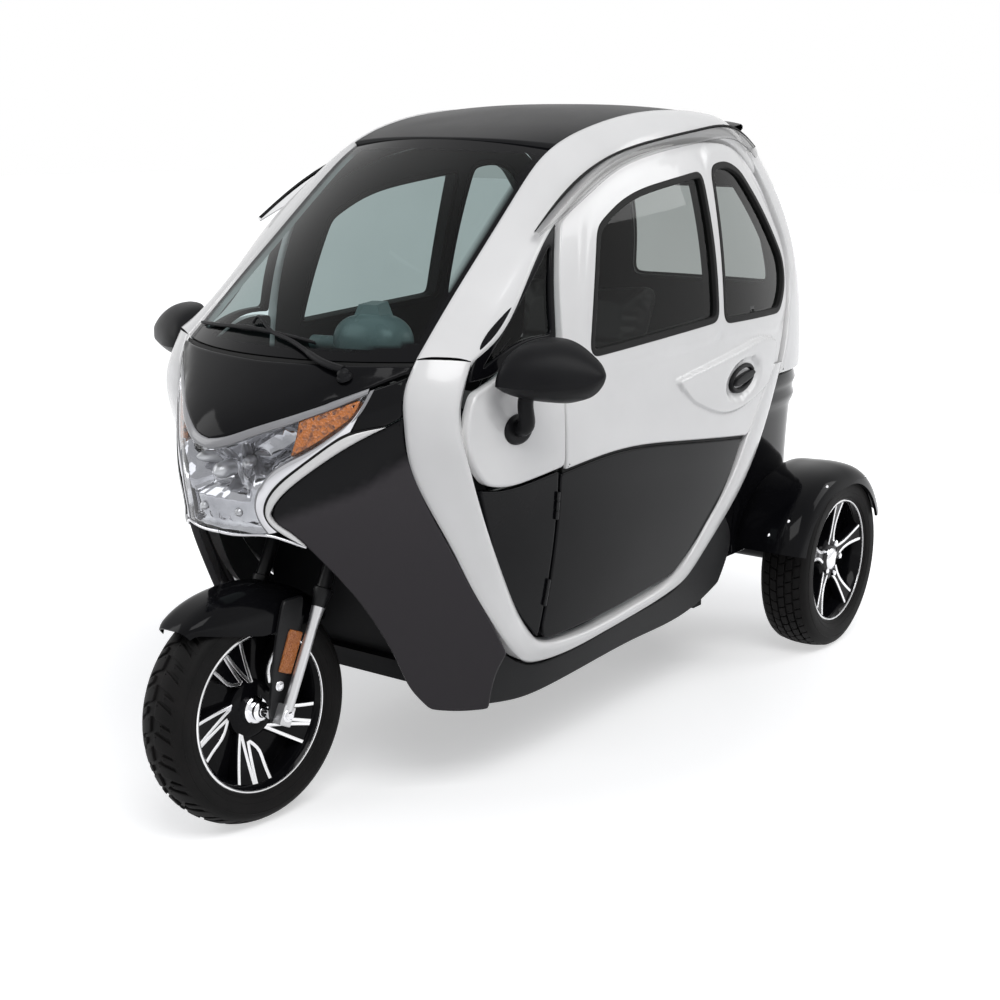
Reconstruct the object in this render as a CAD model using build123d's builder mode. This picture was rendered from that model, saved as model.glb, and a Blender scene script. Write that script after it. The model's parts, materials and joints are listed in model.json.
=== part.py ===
"""Enclosed electric tricycle: one steered front wheel, two driven rear wheels, a two-door cabin.

Millimetres. +Z is up, the front faces -Y, the vehicle's left is +X, and the ground is Z = 0.
Body stations are measured rearwards from the front axle at the nominal wheelbase.
"""
import math
import os

from build123d import *

os.makedirs("parts", exist_ok=True)

# Running gear
WHEELBASE = 1760
NOMINAL_WHEELBASE = 1760
FRONT_TYRE_R = 235
FRONT_TYRE_WIDTH = 118
REAR_TYRE_R = 240
REAR_TYRE_WIDTH = 136
REAR_TRACK = 880
RIM_LIP_R = 166
RUNNING_GAP = 6
RAKE = 26.8
STEER_AT_REST = -5.8
FORK_OFFSET = 31

# Body
SKIN = 30
LENS = 6
GLASS = 5
GLASS_INSET = 6
DOOR_GAP = 8
SHUT_GAP = 7
FLOOR_Z = 235
FLOOR_THICK = 15
REAR_FLOOR_RISE = 195
FLOOR_HALF = 300
FIT = 0.4

FRONT_AXLE_Y = -(WHEELBASE + REAR_TYRE_R - FRONT_TYRE_R) / 2
REAR_AXLE_Y = FRONT_AXLE_Y + WHEELBASE
STRETCH_FROM = 560
STRETCH_TO = 1130
REACH = 800
SCRAP = 9000


def station(s):
    """Y of a body station; the length between the door's ends takes up a change of wheelbase."""
    share = min(max((s - STRETCH_FROM) / (STRETCH_TO - STRETCH_FROM), 0), 1)
    return FRONT_AXLE_Y + s + share * (WHEELBASE - NOMINAL_WHEELBASE)


def without_scraps(part):
    """The solids of a trimmed part that are more than a sliver."""
    return [solid for solid in part.solids() if solid.volume > SCRAP]


def side(points):
    """Side-view points (station, height) as sketch points of the YZ plane."""
    return [(station(s), z) for s, z in points]


# Side skin: half widths at five heights for each station.
SIDE_HEIGHTS = (185, 560, 900, 1130, 1400)
SIDE_SKIN = (
    # station, half widths from the sill up to the roof
    (190, (305, 380, 390, 350, 280)),
    (520, (345, 416, 414, 380, 312)),
    (950, (352, 430, 427, 395, 325)),
    (1400, (346, 418, 414, 378, 305)),
    (1700, (318, 376, 368, 328, 250)),
)


def side_wall(inset, thick):
    """Left wall blank between two distances in from the outer skin."""
    with BuildPart() as wall:
        for s, widths in SIDE_SKIN:
            out = [(x - inset, z) for x, z in zip(widths, SIDE_HEIGHTS)]
            back = [(x - thick, z) for x, z in reversed(out)]
            with BuildSketch(Plane.XZ.offset(-station(s))):
                with BuildLine():
                    ThreePointArc(out[0], out[1], out[2])
                    ThreePointArc(out[2], out[3], out[4])
                    Line(out[4], back[0])
                    ThreePointArc(back[0], back[1], back[2])
                    ThreePointArc(back[2], back[3], back[4])
                    Line(back[4], out[0])
                make_face()
        loft()
    return wall.part


# Nose skin: plan form at six heights, from the wheel arch to the foot of the windscreen.
NOSE_SKIN = (
    # height, nose station, corner half width and station, rear half width and station
    (200, 95, 112, 110, 338, 366),
    (420, 0, 112, 15, 392, 318),
    (620, -62, 112, -47, 400, 258),
    (800, -80, 128, -42, 396, 232),
    (890, 12, 215, 58, 392, 222),
    (945, 80, 290, 146, 388, 222),
)


def nose_wall(inset, thick):
    """Blank of the whole nose between two distances in from the outer skin."""
    with BuildPart() as wall:
        for z, tip, corner_x, corner_s, rear_x, rear_s in NOSE_SKIN:
            rims = []
            for depth in (inset, inset + thick):
                rims.append((
                    (rear_x - depth, station(rear_s + depth)),
                    (corner_x - depth / 3, station(corner_s + depth)),
                    (0, station(tip + depth)),
                ))
            (ra, ca, ta), (rb, cb, tb) = rims
            with BuildSketch(Plane.XY.offset(z)):
                with BuildLine():
                    Line(ra, ca)
                    ThreePointArc(ca, ta, (-ca[0], ca[1]))
                    Line((-ca[0], ca[1]), (-ra[0], ra[1]))
                    Line((-ra[0], ra[1]), (-rb[0], rb[1]))
                    Line((-rb[0], rb[1]), (-cb[0], cb[1]))
                    ThreePointArc((-cb[0], cb[1]), tb, cb)
                    Line(cb, rb)
                    Line(rb, ra)
                make_face()
        loft()
    return wall.part


# Side-view outlines
DOOR_FRONT = 503
DOOR_TOP = ((560, 1190), (850, 1302), (1212, 1342))
DOOR_REAR_TOP = ((1212, 1342), (1450, 1290), (1612, 1060))
DOOR_REAR = ((1612, 1060), (1590, 935), (1500, 785))
DOOR_REAR_FOOT = ((1290, 632), (1190, 470), (1040, 345))
DOOR_FOOT = ((560, 313), (517, 322), (DOOR_FRONT, 350))
STEP_LINE = ((170, 678), (707, 706), (1330, 640))


def door_outline():
    """The door's edge in the side view, anticlockwise from its front top corner."""
    with BuildLine(Plane.XY) as edge:
        ThreePointArc(*side(DOOR_TOP))
        ThreePointArc(*side(DOOR_REAR_TOP))
        ThreePointArc(*side(DOOR_REAR))
        Line(*side((DOOR_REAR[2], DOOR_REAR_FOOT[0])))
        ThreePointArc(*side(DOOR_REAR_FOOT))
        Line(*side((DOOR_REAR_FOOT[2], DOOR_FOOT[0])))
        ThreePointArc(*side(DOOR_FOOT))
        Line(*side((DOOR_FOOT[2], (DOOR_FRONT, 860))))
        ThreePointArc(*side(((DOOR_FRONT, 860), (517, 1040), DOOR_TOP[0])))
    return edge.line


def quarter_outline():
    """The fixed quarter panel's edge in the side view, ahead of the door's shut line."""
    rear = DOOR_FRONT - SHUT_GAP
    with BuildLine(Plane.XY) as edge:
        Line(*side(((rear, 320), (rear, 860))))
        ThreePointArc(*side(((rear, 860), (510, 1040), (548, 1182))))
        Line(*side(((548, 1182), (212, 925))))
        ThreePointArc(*side(((212, 925), (212, 700), (345, 480))))
        Line(*side(((345, 480), (rear, 320))))
    return edge.line


def below_step():
    """Everything under the line where the white upper half of the sides ends."""
    with BuildLine(Plane.XY) as edge:
        ThreePointArc(*side(STEP_LINE))
        Polyline(*side((STEP_LINE[2], (1700, 640), (1700, 100), (100, 100), (100, 678), STEP_LINE[0])))
    return edge.line


MAIN_WINDOW = ((612, 926), (676, 1163), (880, 1240), (1150, 1272), (1138, 946), (870, 934))
REAR_PANE = ((1185, 940), (1200, 1276), (1330, 1280), (1432, 1212), (1566, 1066), (1576, 1000), (1522, 930))
QUARTER_PANE = ((262, 918), (528, 1152), (488, 966), (390, 954))


def main_window():
    a, b, c, d, e, f = side(MAIN_WINDOW)
    with BuildLine(Plane.XY) as edge:
        Line(a, b)
        ThreePointArc(b, c, d)
        Line(d, e)
        ThreePointArc(e, f, a)
    return edge.line


def rear_pane():
    a, b, c, d, e, f, g = side(REAR_PANE)
    with BuildLine(Plane.XY) as edge:
        Line(a, b)
        ThreePointArc(b, c, d)
        Line(d, e)
        ThreePointArc(e, f, g)
        Line(g, a)
    return edge.line


def quarter_pane():
    with BuildLine(Plane.XY) as edge:
        Polyline(*side(QUARTER_PANE), close=True)
    return edge.line


PANE_CORNER = 20
QUARTER_CORNER = 10

# Side frame: the white band round the door, by its outer and inner edge at each place.
RAIL_BAND = (
    # outer edge x, station, height; inner edge x, station, height; depth direction x, y, z
    ((252, 1520, 1366), (326, 1485, 1268), (-0.6, 0.1, -0.8)),
    ((274, 1400, 1398), (329, 1400, 1318), (-0.55, 0.0, -0.83)),
    ((285, 1250, 1414), (337, 1250, 1336), (-0.55, 0.0, -0.83)),
    ((288, 1090, 1415), (344, 1090, 1334), (-0.55, 0.0, -0.83)),
    ((287, 930, 1401), (350, 930, 1314), (-0.57, 0.1, -0.81)),
    ((282, 780, 1374), (357, 775, 1277), (-0.6, 0.2, -0.78)),
    ((274, 630, 1318), (369, 615, 1205), (-0.68, 0.35, -0.64)),
    ((281, 520, 1238), (378, 520, 1138), (-0.7, 0.43, -0.56)),
    ((288, 410, 1148), (386, 425, 1062), (-0.72, 0.5, -0.48)),
    ((297, 288, 1050), (391, 330, 985), (-0.72, 0.56, -0.4)),
    ((306, 168, 950), (392, 240, 930), (-0.72, 0.62, -0.3)),
)
LOOP_BAND = (
    # as above, from the foot of the windscreen down and round under the door
    RAIL_BAND[-1],
    ((301, 134, 860), (394, 205, 862), (-0.8, 0.6, 0.0)),
    ((309, 142, 750), (397, 212, 745), (-0.82, 0.57, 0.0)),
    ((334, 190, 620), (396, 262, 612), (-0.86, 0.5, 0.0)),
    ((360, 255, 490), (390, 340, 490), (-0.93, 0.36, 0.0)),
    ((374, 340, 372), (384, 428, 385), (-0.98, 0.2, 0.0)),
    ((374, 455, 282), (380, 505, 330), (-1.0, 0.0, 0.0)),
    ((372, 600, 264), (384, 610, 324), (-1.0, 0.0, 0.0)),
    ((378, 770, 275), (388, 770, 324), (-1.0, 0.0, 0.0)),
    ((383, 940, 290), (393, 930, 334), (-1.0, 0.0, 0.0)),
    ((390, 1085, 316), (400, 1045, 366), (-1.0, 0.0, 0.0)),
    ((408, 1200, 408), (417, 1140, 470), (-1.0, 0.0, 0.0)),
    ((420, 1318, 520), (428, 1250, 590), (-1.0, 0.0, 0.0)),
    ((424, 1440, 672), (431, 1360, 740), (-1.0, 0.0, 0.0)),
)
FRAME_DEPTH = 34


def frame_band(rows):
    """A run of the left side frame before the door opening is cut out of it."""
    with BuildPart() as band:
        for outer, inner, inward in rows:
            a = Vector(outer[0], station(outer[1]), outer[2])
            b = Vector(inner[0], station(inner[1]), inner[2])
            across = (b - a).normalized()
            deep = Vector(*inward).normalized() * FRAME_DEPTH
            cut = Plane(origin=a, x_dir=across, z_dir=across.cross(deep))
            corners = [cut.to_local_coords(p) for p in (a, b, b + deep, a + deep)]
            with BuildSketch(cut):
                with BuildLine():
                    Polyline(*[(p.X, p.Y) for p in corners], close=True)
                make_face()
        loft()
    return band.part


with BuildPart() as side_frame_left:
    add(frame_band(RAIL_BAND))
    add(frame_band(LOOP_BAND))
    with BuildSketch(Plane.YZ):
        make_face(door_outline())
        offset(amount=DOOR_GAP)
    extrude(amount=REACH, mode=Mode.SUBTRACT)
    with BuildSketch(Plane.YZ):
        make_face(quarter_outline())
    extrude(amount=REACH, mode=Mode.SUBTRACT)

with BuildPart() as side_frame_right:
    add(mirror(side_frame_left.part, about=Plane.YZ))


with BuildPart() as both_frames:
    add(side_frame_left.part)
    add(side_frame_right.part)

# Doors: white upper half, black lower half, two panes and a handle each.
HINGE_X = max(SIDE_SKIN[1][1]) + 3
HINGE_Y = station(DOOR_FRONT) - SHUT_GAP / 2
HINGE_HEIGHTS = (400, 590)
HINGE_LENGTH = 60
HINGE_R = 6
HINGE_LEAF = 22
PIN_R = 3

with BuildPart() as door_blank:
    add(side_wall(0, SKIN))
    with BuildSketch(Plane.YZ):
        make_face(door_outline())
    extrude(amount=REACH, mode=Mode.INTERSECT)
    with BuildSketch(Plane.YZ) as panes:
        make_face(main_window())
        make_face(rear_pane())
        fillet(panes.vertices(), PANE_CORNER)
    extrude(amount=REACH, mode=Mode.SUBTRACT)

with BuildPart() as door_left_upper:
    add(door_blank.part)
    with BuildSketch(Plane.YZ):
        make_face(below_step())
    extrude(amount=REACH, mode=Mode.SUBTRACT)

with BuildPart() as door_left_lower:
    add(door_blank.part)
    with BuildSketch(Plane.YZ):
        make_face(below_step())
    extrude(amount=REACH, mode=Mode.INTERSECT)
    for z in HINGE_HEIGHTS:
        with BuildSketch(Plane.XY.offset(z - 1)):
            with Locations((HINGE_X, HINGE_Y)):
                Circle(HINGE_R + 2)
        extrude(amount=HINGE_LENGTH + 2, mode=Mode.SUBTRACT)
        with BuildSketch(Plane.XY.offset(z + HINGE_LENGTH / 4)):
            with Locations((HINGE_X, HINGE_Y)):
                Circle(HINGE_R)
            with Locations((HINGE_X - HINGE_LEAF / 2 - 2, HINGE_Y + 9)):
                Rectangle(HINGE_LEAF, 14)
        extrude(amount=HINGE_LENGTH / 2)
        with BuildSketch(Plane.XY.offset(z)):
            with Locations((HINGE_X, HINGE_Y)):
                Circle(PIN_R + FIT)
        extrude(amount=HINGE_LENGTH, mode=Mode.SUBTRACT)

with BuildPart() as door_left_glass:
    add(side_wall(GLASS_INSET, GLASS))
    with BuildSketch(Plane.YZ) as panes:
        make_face(main_window())
        make_face(rear_pane())
        fillet(panes.vertices(), PANE_CORNER)
    extrude(amount=REACH, mode=Mode.INTERSECT)

HANDLE_S = 1290
HANDLE_Z = 795
HANDLE_LENGTH = 130
HANDLE_HEIGHT = 34
HANDLE_PROUD = 22

with BuildPart() as door_left_handle:
    with BuildSketch(Plane.YZ.offset(HINGE_X - SKIN)):
        with Locations(Location((station(HANDLE_S), HANDLE_Z), 9)):
            Ellipse(HANDLE_LENGTH / 2, HANDLE_HEIGHT / 2)
    extrude(amount=SKIN + HANDLE_PROUD)
    add(side_wall(0, REACH / 2), mode=Mode.SUBTRACT)

with BuildPart() as door_right_upper:
    add(mirror(door_left_upper.part, about=Plane.YZ))

with BuildPart() as door_right_lower:
    add(mirror(door_left_lower.part, about=Plane.YZ))

with BuildPart() as door_right_glass:
    add(mirror(door_left_glass.part, about=Plane.YZ))

with BuildPart() as door_right_handle:
    add(mirror(door_left_handle.part, about=Plane.YZ))

# Fixed quarter panels ahead of the doors, with the hinge pins and the mirrors.
with BuildPart() as quarter_blank:
    add(side_wall(0, SKIN))
    with BuildSketch(Plane.YZ):
        make_face(quarter_outline())
    extrude(amount=REACH, mode=Mode.INTERSECT)
    with BuildSketch(Plane.YZ) as panes:
        make_face(quarter_pane())
        fillet(panes.vertices(), QUARTER_CORNER)
    extrude(amount=REACH, mode=Mode.SUBTRACT)
    for z in HINGE_HEIGHTS:
        with BuildSketch(Plane.XY.offset(z - 1)):
            with Locations((HINGE_X, HINGE_Y)):
                Circle(HINGE_R + 2)
        extrude(amount=HINGE_LENGTH + 2, mode=Mode.SUBTRACT)

with BuildPart() as quarter_panels:
    add(quarter_blank.part)
    with BuildSketch(Plane.YZ):
        make_face(below_step())
    extrude(amount=REACH, mode=Mode.SUBTRACT)
    mirror(about=Plane.YZ)

with BuildPart() as quarter_skirts:
    add(quarter_blank.part)
    with BuildSketch(Plane.YZ):
        make_face(below_step())
    extrude(amount=REACH, mode=Mode.INTERSECT)
    mirror(about=Plane.YZ)

with BuildPart() as quarter_glass:
    add(side_wall(GLASS_INSET, GLASS))
    with BuildSketch(Plane.YZ) as panes:
        make_face(quarter_pane())
        fillet(panes.vertices(), QUARTER_CORNER)
    extrude(amount=REACH, mode=Mode.INTERSECT)
    mirror(about=Plane.YZ)

with BuildPart() as door_hinge_pins:
    for z in HINGE_HEIGHTS:
        with BuildSketch(Plane.XY.offset(z)):
            with Locations((HINGE_X, HINGE_Y)):
                Circle(PIN_R)
        extrude(amount=HINGE_LENGTH)
        for foot in (z, z + HINGE_LENGTH * 3 / 4 + 1):
            with BuildSketch(Plane.XY.offset(foot)):
                with Locations((HINGE_X, HINGE_Y)):
                    Circle(HINGE_R)
                with Locations((HINGE_X - HINGE_LEAF / 2 - 2, HINGE_Y - 9)):
                    Rectangle(HINGE_LEAF, 14)
            extrude(amount=HINGE_LENGTH / 4 - 1)
    add(quarter_blank.part, mode=Mode.SUBTRACT)
    mirror(about=Plane.YZ)

MIRROR_S = 345
MIRROR_BASE_Z = 802
MIRROR_POD_Z = 928
MIRROR_DEEP = 58
MIRROR_FRONT = 22
MIRROR_STALK_R = 9
MIRROR_POD = (
    # half width and height of the pod's outline, from its inner end round to its outer tip
    (452, 916), (458, 962), (530, 976), (612, 922), (584, 894), (520, 880), (462, 886),
)

with BuildPart() as mirrors:
    pod_plane = Plane.XZ.offset(-station(MIRROR_S) - MIRROR_DEEP / 2)
    with BuildSketch(pod_plane) as pod_outline:
        with BuildLine():
            Polyline(*MIRROR_POD, close=True)
        make_face()
        fillet(pod_outline.vertices(), 7)
    extrude(amount=MIRROR_FRONT)
    extrude(pod_outline.sketch.faces(), amount=MIRROR_FRONT - MIRROR_DEEP, taper=28)
    with BuildSketch(Plane.YZ.offset(380)):
        with Locations((station(MIRROR_S), MIRROR_BASE_Z)):
            Circle(21)
    extrude(amount=36)
    foot = Vector(405, station(MIRROR_S), MIRROR_BASE_Z)
    head = Vector(500, station(MIRROR_S), MIRROR_POD_Z - 20)
    with BuildSketch(Plane(foot, z_dir=head - foot)):
        Circle(MIRROR_STALK_R)
    extrude(amount=(head - foot).length)
    add(side_wall(0, REACH / 2), mode=Mode.SUBTRACT)
    mirror(about=Plane.YZ)

# Nose: front-view outlines (half width, height) of the bonnet, lamp, indicator and trim.
BONNET_EDGE = ((0, 797), (122, 823), (237, 899))
BONNET_TOP = (330, 962)
LAMP_FOOT = ((237, 862), (160, 752), (112, 700), (110, 622))
TRIM_FOOT = ((300, 850), (222, 800), (160, 735), (124, 680), (126, 628), (156, 594))
INDICATOR_X = 166
NOSE_BACK = 420


def ahead_of_frame():
    """Everything in front of the side frame's front edge, in the side view."""
    edge = [LOOP_BAND[row][0][1:] for row in (0, 1, 3, 4, 6)]
    with BuildLine(Plane.XY) as region:
        ThreePointArc(*side((edge[4], edge[3], edge[2])))
        ThreePointArc(*side((edge[2], edge[1], edge[0])))
        Polyline(*side((edge[0], (edge[0][0], 1000), (-250, 1000), (-250, 100), (edge[4][0], 100), edge[4])))
    return region.line


def lamp_half():
    with BuildLine(Plane.XY) as edge:
        ThreePointArc(*BONNET_EDGE)
        Line(BONNET_EDGE[2], LAMP_FOOT[0])
        ThreePointArc(LAMP_FOOT[0], LAMP_FOOT[1], LAMP_FOOT[2])
        Line(LAMP_FOOT[2], LAMP_FOOT[3])
        Line(LAMP_FOOT[3], (0, LAMP_FOOT[3][1] - 8))
        Line((0, LAMP_FOOT[3][1] - 8), BONNET_EDGE[0])
    return edge.line


def bonnet_half():
    with BuildLine(Plane.XY) as edge:
        ThreePointArc(*BONNET_EDGE)
        Polyline(BONNET_EDGE[2], BONNET_TOP, (0, BONNET_TOP[1]), BONNET_EDGE[0])
    return edge.line


def trim_half():
    with BuildLine(Plane.XY) as edge:
        Line(BONNET_EDGE[2], LAMP_FOOT[0])
        ThreePointArc(LAMP_FOOT[0], LAMP_FOOT[1], LAMP_FOOT[2])
        Line(LAMP_FOOT[2], LAMP_FOOT[3])
        Polyline(LAMP_FOOT[3], *reversed(TRIM_FOOT), (330, 880), BONNET_TOP, BONNET_EDGE[2])
    return edge.line


FRONT = Plane.XZ.offset(-station(-200))

with BuildPart() as nose_panel:
    add(nose_wall(0, SKIN))
    with BuildSketch(FRONT):
        make_face(bonnet_half())
        mirror(about=Plane.YZ)
    extrude(amount=-NOSE_BACK - 200, mode=Mode.INTERSECT)
    with BuildSketch(Plane.YZ):
        make_face(ahead_of_frame())
    extrude(amount=REACH, both=True, mode=Mode.INTERSECT)
    add(both_frames.part, mode=Mode.SUBTRACT)

with BuildPart() as headlamp_lens:
    add(nose_wall(0, LENS))
    with BuildSketch(FRONT):
        make_face(lamp_half())
        mirror(about=Plane.YZ)
        with Locations((0, BONNET_EDGE[0][1])):
            Rectangle(2 * INDICATOR_X, 500, mode=Mode.INTERSECT)
    extrude(amount=-NOSE_BACK - 200, mode=Mode.INTERSECT)

with BuildPart() as indicator_lenses:
    add(nose_wall(0, LENS))
    with BuildSketch(FRONT):
        make_face(lamp_half())
        mirror(about=Plane.YZ)
        with Locations((0, BONNET_EDGE[0][1])):
            Rectangle(2 * INDICATOR_X, 500, mode=Mode.SUBTRACT)
    extrude(amount=-NOSE_BACK - 200, mode=Mode.INTERSECT)
    add(both_frames.part, mode=Mode.SUBTRACT)

with BuildPart() as headlamp_bowl:
    add(nose_wall(SKIN - 8, 16))
    with BuildSketch(FRONT):
        make_face(lamp_half())
        mirror(about=Plane.YZ)
    extrude(amount=-NOSE_BACK - 200, mode=Mode.INTERSECT)
    add(both_frames.part, mode=Mode.SUBTRACT)

with BuildPart() as headlamp_trims:
    add(nose_wall(0, SKIN))
    with BuildSketch(FRONT):
        make_face(trim_half())
        mirror(about=Plane.YZ)
    extrude(amount=-NOSE_BACK - 200, mode=Mode.INTERSECT)
    with BuildSketch(Plane.YZ):
        make_face(ahead_of_frame())
    extrude(amount=REACH, both=True, mode=Mode.INTERSECT)
    add(both_frames.part, mode=Mode.SUBTRACT)

# Wheel-arch edge of the side fairings in the side view.
ARCH_EDGE = ((-20, 622), (128, 410), (272, 190))
SILL_FOOT = 192

with BuildPart() as fairing_blank:
    add(nose_wall(0, SKIN))
    with BuildSketch(Plane.YZ):
        with BuildLine():
            ThreePointArc(*side(ARCH_EDGE))
            Polyline(*side((ARCH_EDGE[2], (380, 190), (380, 960), (-20, 960), ARCH_EDGE[0])))
        make_face()
        make_face(ahead_of_frame(), mode=Mode.INTERSECT)
    extrude(amount=REACH, both=True, mode=Mode.INTERSECT)
    with BuildSketch(FRONT):
        make_face(bonnet_half())
        make_face(lamp_half())
        make_face(trim_half())
        mirror(about=Plane.YZ)
        with Locations((0, 600)):
            Rectangle(224, 800)
    extrude(amount=-NOSE_BACK - 200, mode=Mode.SUBTRACT)
    add(both_frames.part, mode=Mode.SUBTRACT)
    with BuildSketch(Plane.YZ):
        make_face(quarter_outline())
    extrude(amount=REACH, both=True, mode=Mode.SUBTRACT)

with BuildPart() as front_fairings:
    add(without_scraps(fairing_blank.part))

with BuildPart() as skirt_blank:
    add(side_wall(0, SKIN))
    with BuildSketch(Plane.YZ):
        with BuildLine():
            Polyline(*side((
                (368, SILL_FOOT), (1230, SILL_FOOT + 26), (1330, 300), (1240, 400), (1100, 330),
                (560, 300), (440, 340), (368, 400),
            )), close=True)
        make_face()
    extrude(amount=REACH, mode=Mode.INTERSECT)
    mirror(about=Plane.YZ)
    add(both_frames.part, mode=Mode.SUBTRACT)
    with BuildSketch(Plane.YZ):
        make_face(door_outline())
        offset(amount=DOOR_GAP)
        make_face(quarter_outline())
    extrude(amount=REACH, both=True, mode=Mode.SUBTRACT)
    add(front_fairings.part, mode=Mode.SUBTRACT)

with BuildPart() as sill_skirts:
    add(without_scraps(skirt_blank.part))

# Roof panel: part of a ring about a cross axis, crowned across.
ROOF_CREST_S = 1150
ROOF_CREST_Z = 1419
ROOF_RADIUS = 1700
ROOF_HALF = 288
ROOF_CROWN = 13
ROOF_THICK = 22
ROOF_FRONT_ANGLE = 18
ROOF_REAR_ANGLE = 12.6
ROOF_AXIS = Axis((0, station(ROOF_CREST_S), ROOF_CREST_Z - ROOF_RADIUS), (-1, 0, 0))

with BuildPart() as roof_panel:
    lean = math.radians(ROOF_FRONT_ANGLE)
    with BuildSketch(Plane(ROOF_AXIS.position, x_dir=(1, 0, 0), z_dir=(0, -math.cos(lean), -math.sin(lean)))):
        with BuildLine():
            ThreePointArc((-ROOF_HALF, ROOF_RADIUS), (0, ROOF_RADIUS + ROOF_CROWN), (ROOF_HALF, ROOF_RADIUS))
            Line((ROOF_HALF, ROOF_RADIUS), (ROOF_HALF, ROOF_RADIUS - ROOF_THICK))
            ThreePointArc(
                (ROOF_HALF, ROOF_RADIUS - ROOF_THICK),
                (0, ROOF_RADIUS + ROOF_CROWN - ROOF_THICK),
                (-ROOF_HALF, ROOF_RADIUS - ROOF_THICK),
            )
            Line((-ROOF_HALF, ROOF_RADIUS - ROOF_THICK), (-ROOF_HALF, ROOF_RADIUS))
        make_face()
    revolve(axis=ROOF_AXIS, revolution_arc=ROOF_FRONT_ANGLE + ROOF_REAR_ANGLE)
    add(both_frames.part, mode=Mode.SUBTRACT)

# Windscreen: curved glass from the bonnet to the roof.
SCREEN = (
    # height, centre station, edge half width, edge station
    (945, 84, 297, 170),
    (1140, 345, 278, 406),
    (1350, 640, 270, 690),
)

with BuildPart() as windscreen:
    for z, mid, half, edge in SCREEN:
        with BuildSketch(Plane.XY.offset(z)):
            with BuildLine():
                ThreePointArc((-half, station(edge)), (0, station(mid)), (half, station(edge)))
                Line((half, station(edge)), (half, station(edge + GLASS + 5)))
                ThreePointArc(
                    (half, station(edge + GLASS + 5)), (0, station(mid + GLASS + 5)),
                    (-half, station(edge + GLASS + 5)),
                )
                Line((-half, station(edge + GLASS + 5)), (-half, station(edge)))
            make_face()
    loft()
    add(both_frames.part, mode=Mode.SUBTRACT)
    add(roof_panel.part, mode=Mode.SUBTRACT)
    with BuildSketch(Plane.YZ):
        with BuildLine():
            Polyline(*side(((60, 900), (60, 1000), (596, 1333), (700, 1333), (700, 900))), close=True)
        make_face()
    extrude(amount=REACH, both=True, mode=Mode.INTERSECT)

# Tail: white upper body and black lower body, each by its plan form at a few heights.
TAIL_UPPER = (
    # height, front half width and station, corner half width and station, end station
    (742, 398, 1400, 300, 1790, 1850),
    (930, 396, 1400, 296, 1806, 1866),
    (1080, 372, 1400, 276, 1782, 1842),
    (1230, 338, 1400, 236, 1690, 1752),
    (1385, 282, 1400, 180, 1500, 1560),
)
TAIL_LOWER = (
    (262, 345, 1180, 300, 1790, 1832),
    (480, 345, 1180, 300, 1800, 1846),
    (742, 392, 1180, 300, 1790, 1850),
)


def tail_wall(table, thick):
    """U-shaped blank of the tail, open to the front."""
    with BuildPart() as wall:
        for z, front_x, front_s, corner_x, corner_s, end in table:
            mid_x = front_x - (front_x - corner_x) * 0.22
            mid_s = front_s + (corner_s - front_s) * 0.62
            outer = [(front_x, station(front_s)), (mid_x, station(mid_s)), (corner_x, station(corner_s))]
            inner = [(x - thick, y - thick / 3) for x, y in outer]
            tip = station(end)
            with BuildSketch(Plane.XY.offset(z)):
                with BuildLine():
                    ThreePointArc(*outer)
                    ThreePointArc(outer[2], (0, tip), (-outer[2][0], outer[2][1]))
                    ThreePointArc(*[(-x, y) for x, y in reversed(outer)])
                    Line((-outer[0][0], outer[0][1]), (-inner[0][0], inner[0][1]))
                    ThreePointArc(*[(-x, y) for x, y in inner])
                    ThreePointArc((-inner[2][0], inner[2][1]), (0, tip - thick), inner[2])
                    ThreePointArc(*reversed(inner))
                    Line(inner[0], outer[0])
                make_face()
        loft()
    return wall.part


REAR_WINDOW_HALF = 205
REAR_WINDOW = (960, 1240)
TAIL_LAMP = (255, 820, 60, 92)

with BuildPart() as tail_upper:
    add(tail_wall(TAIL_UPPER, SKIN))
    with BuildSketch(Plane.YZ):
        make_face(door_outline())
        offset(amount=DOOR_GAP)
        with BuildLine():
            Polyline(*side(((1300, 700), (1500, 742), (1560, 880), (1480, 1390), (1300, 1390))), close=True)
        make_face()
    extrude(amount=REACH, both=True, mode=Mode.SUBTRACT)
    with BuildSketch(Plane.XZ.offset(-station(1400))):
        with Locations((0, sum(REAR_WINDOW) / 2)):
            RectangleRounded(2 * REAR_WINDOW_HALF, REAR_WINDOW[1] - REAR_WINDOW[0], 40)
        with Locations((TAIL_LAMP[0], TAIL_LAMP[1]), (-TAIL_LAMP[0], TAIL_LAMP[1])):
            RectangleRounded(TAIL_LAMP[2], TAIL_LAMP[3], 20)
    extrude(amount=-REACH, mode=Mode.SUBTRACT)
    add(both_frames.part, mode=Mode.SUBTRACT)
    add(roof_panel.part, mode=Mode.SUBTRACT)

with BuildPart() as rear_window:
    add(tail_wall(TAIL_UPPER, GLASS + 4))
    with BuildSketch(Plane.XZ.offset(-station(1400))):
        with Locations((0, sum(REAR_WINDOW) / 2)):
            RectangleRounded(2 * REAR_WINDOW_HALF, REAR_WINDOW[1] - REAR_WINDOW[0], 40)
    extrude(amount=-REACH, mode=Mode.INTERSECT)

with BuildPart() as tail_lower:
    add(tail_wall(TAIL_LOWER, SKIN))
    with BuildSketch(Plane.YZ):
        with BuildLine():
            Polyline(*side(((1330, 300), (1250, 420), (1440, 640), (1540, 742), (1900, 742), (1900, 348), (1600, 300))), close=True)
        make_face()
    extrude(amount=REACH, both=True, mode=Mode.INTERSECT)
    add(both_frames.part, mode=Mode.SUBTRACT)
    with BuildSketch(Plane.YZ):
        make_face(door_outline())
        offset(amount=DOOR_GAP)
    extrude(amount=REACH, both=True, mode=Mode.SUBTRACT)
    add(sill_skirts.part, mode=Mode.SUBTRACT)

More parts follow.
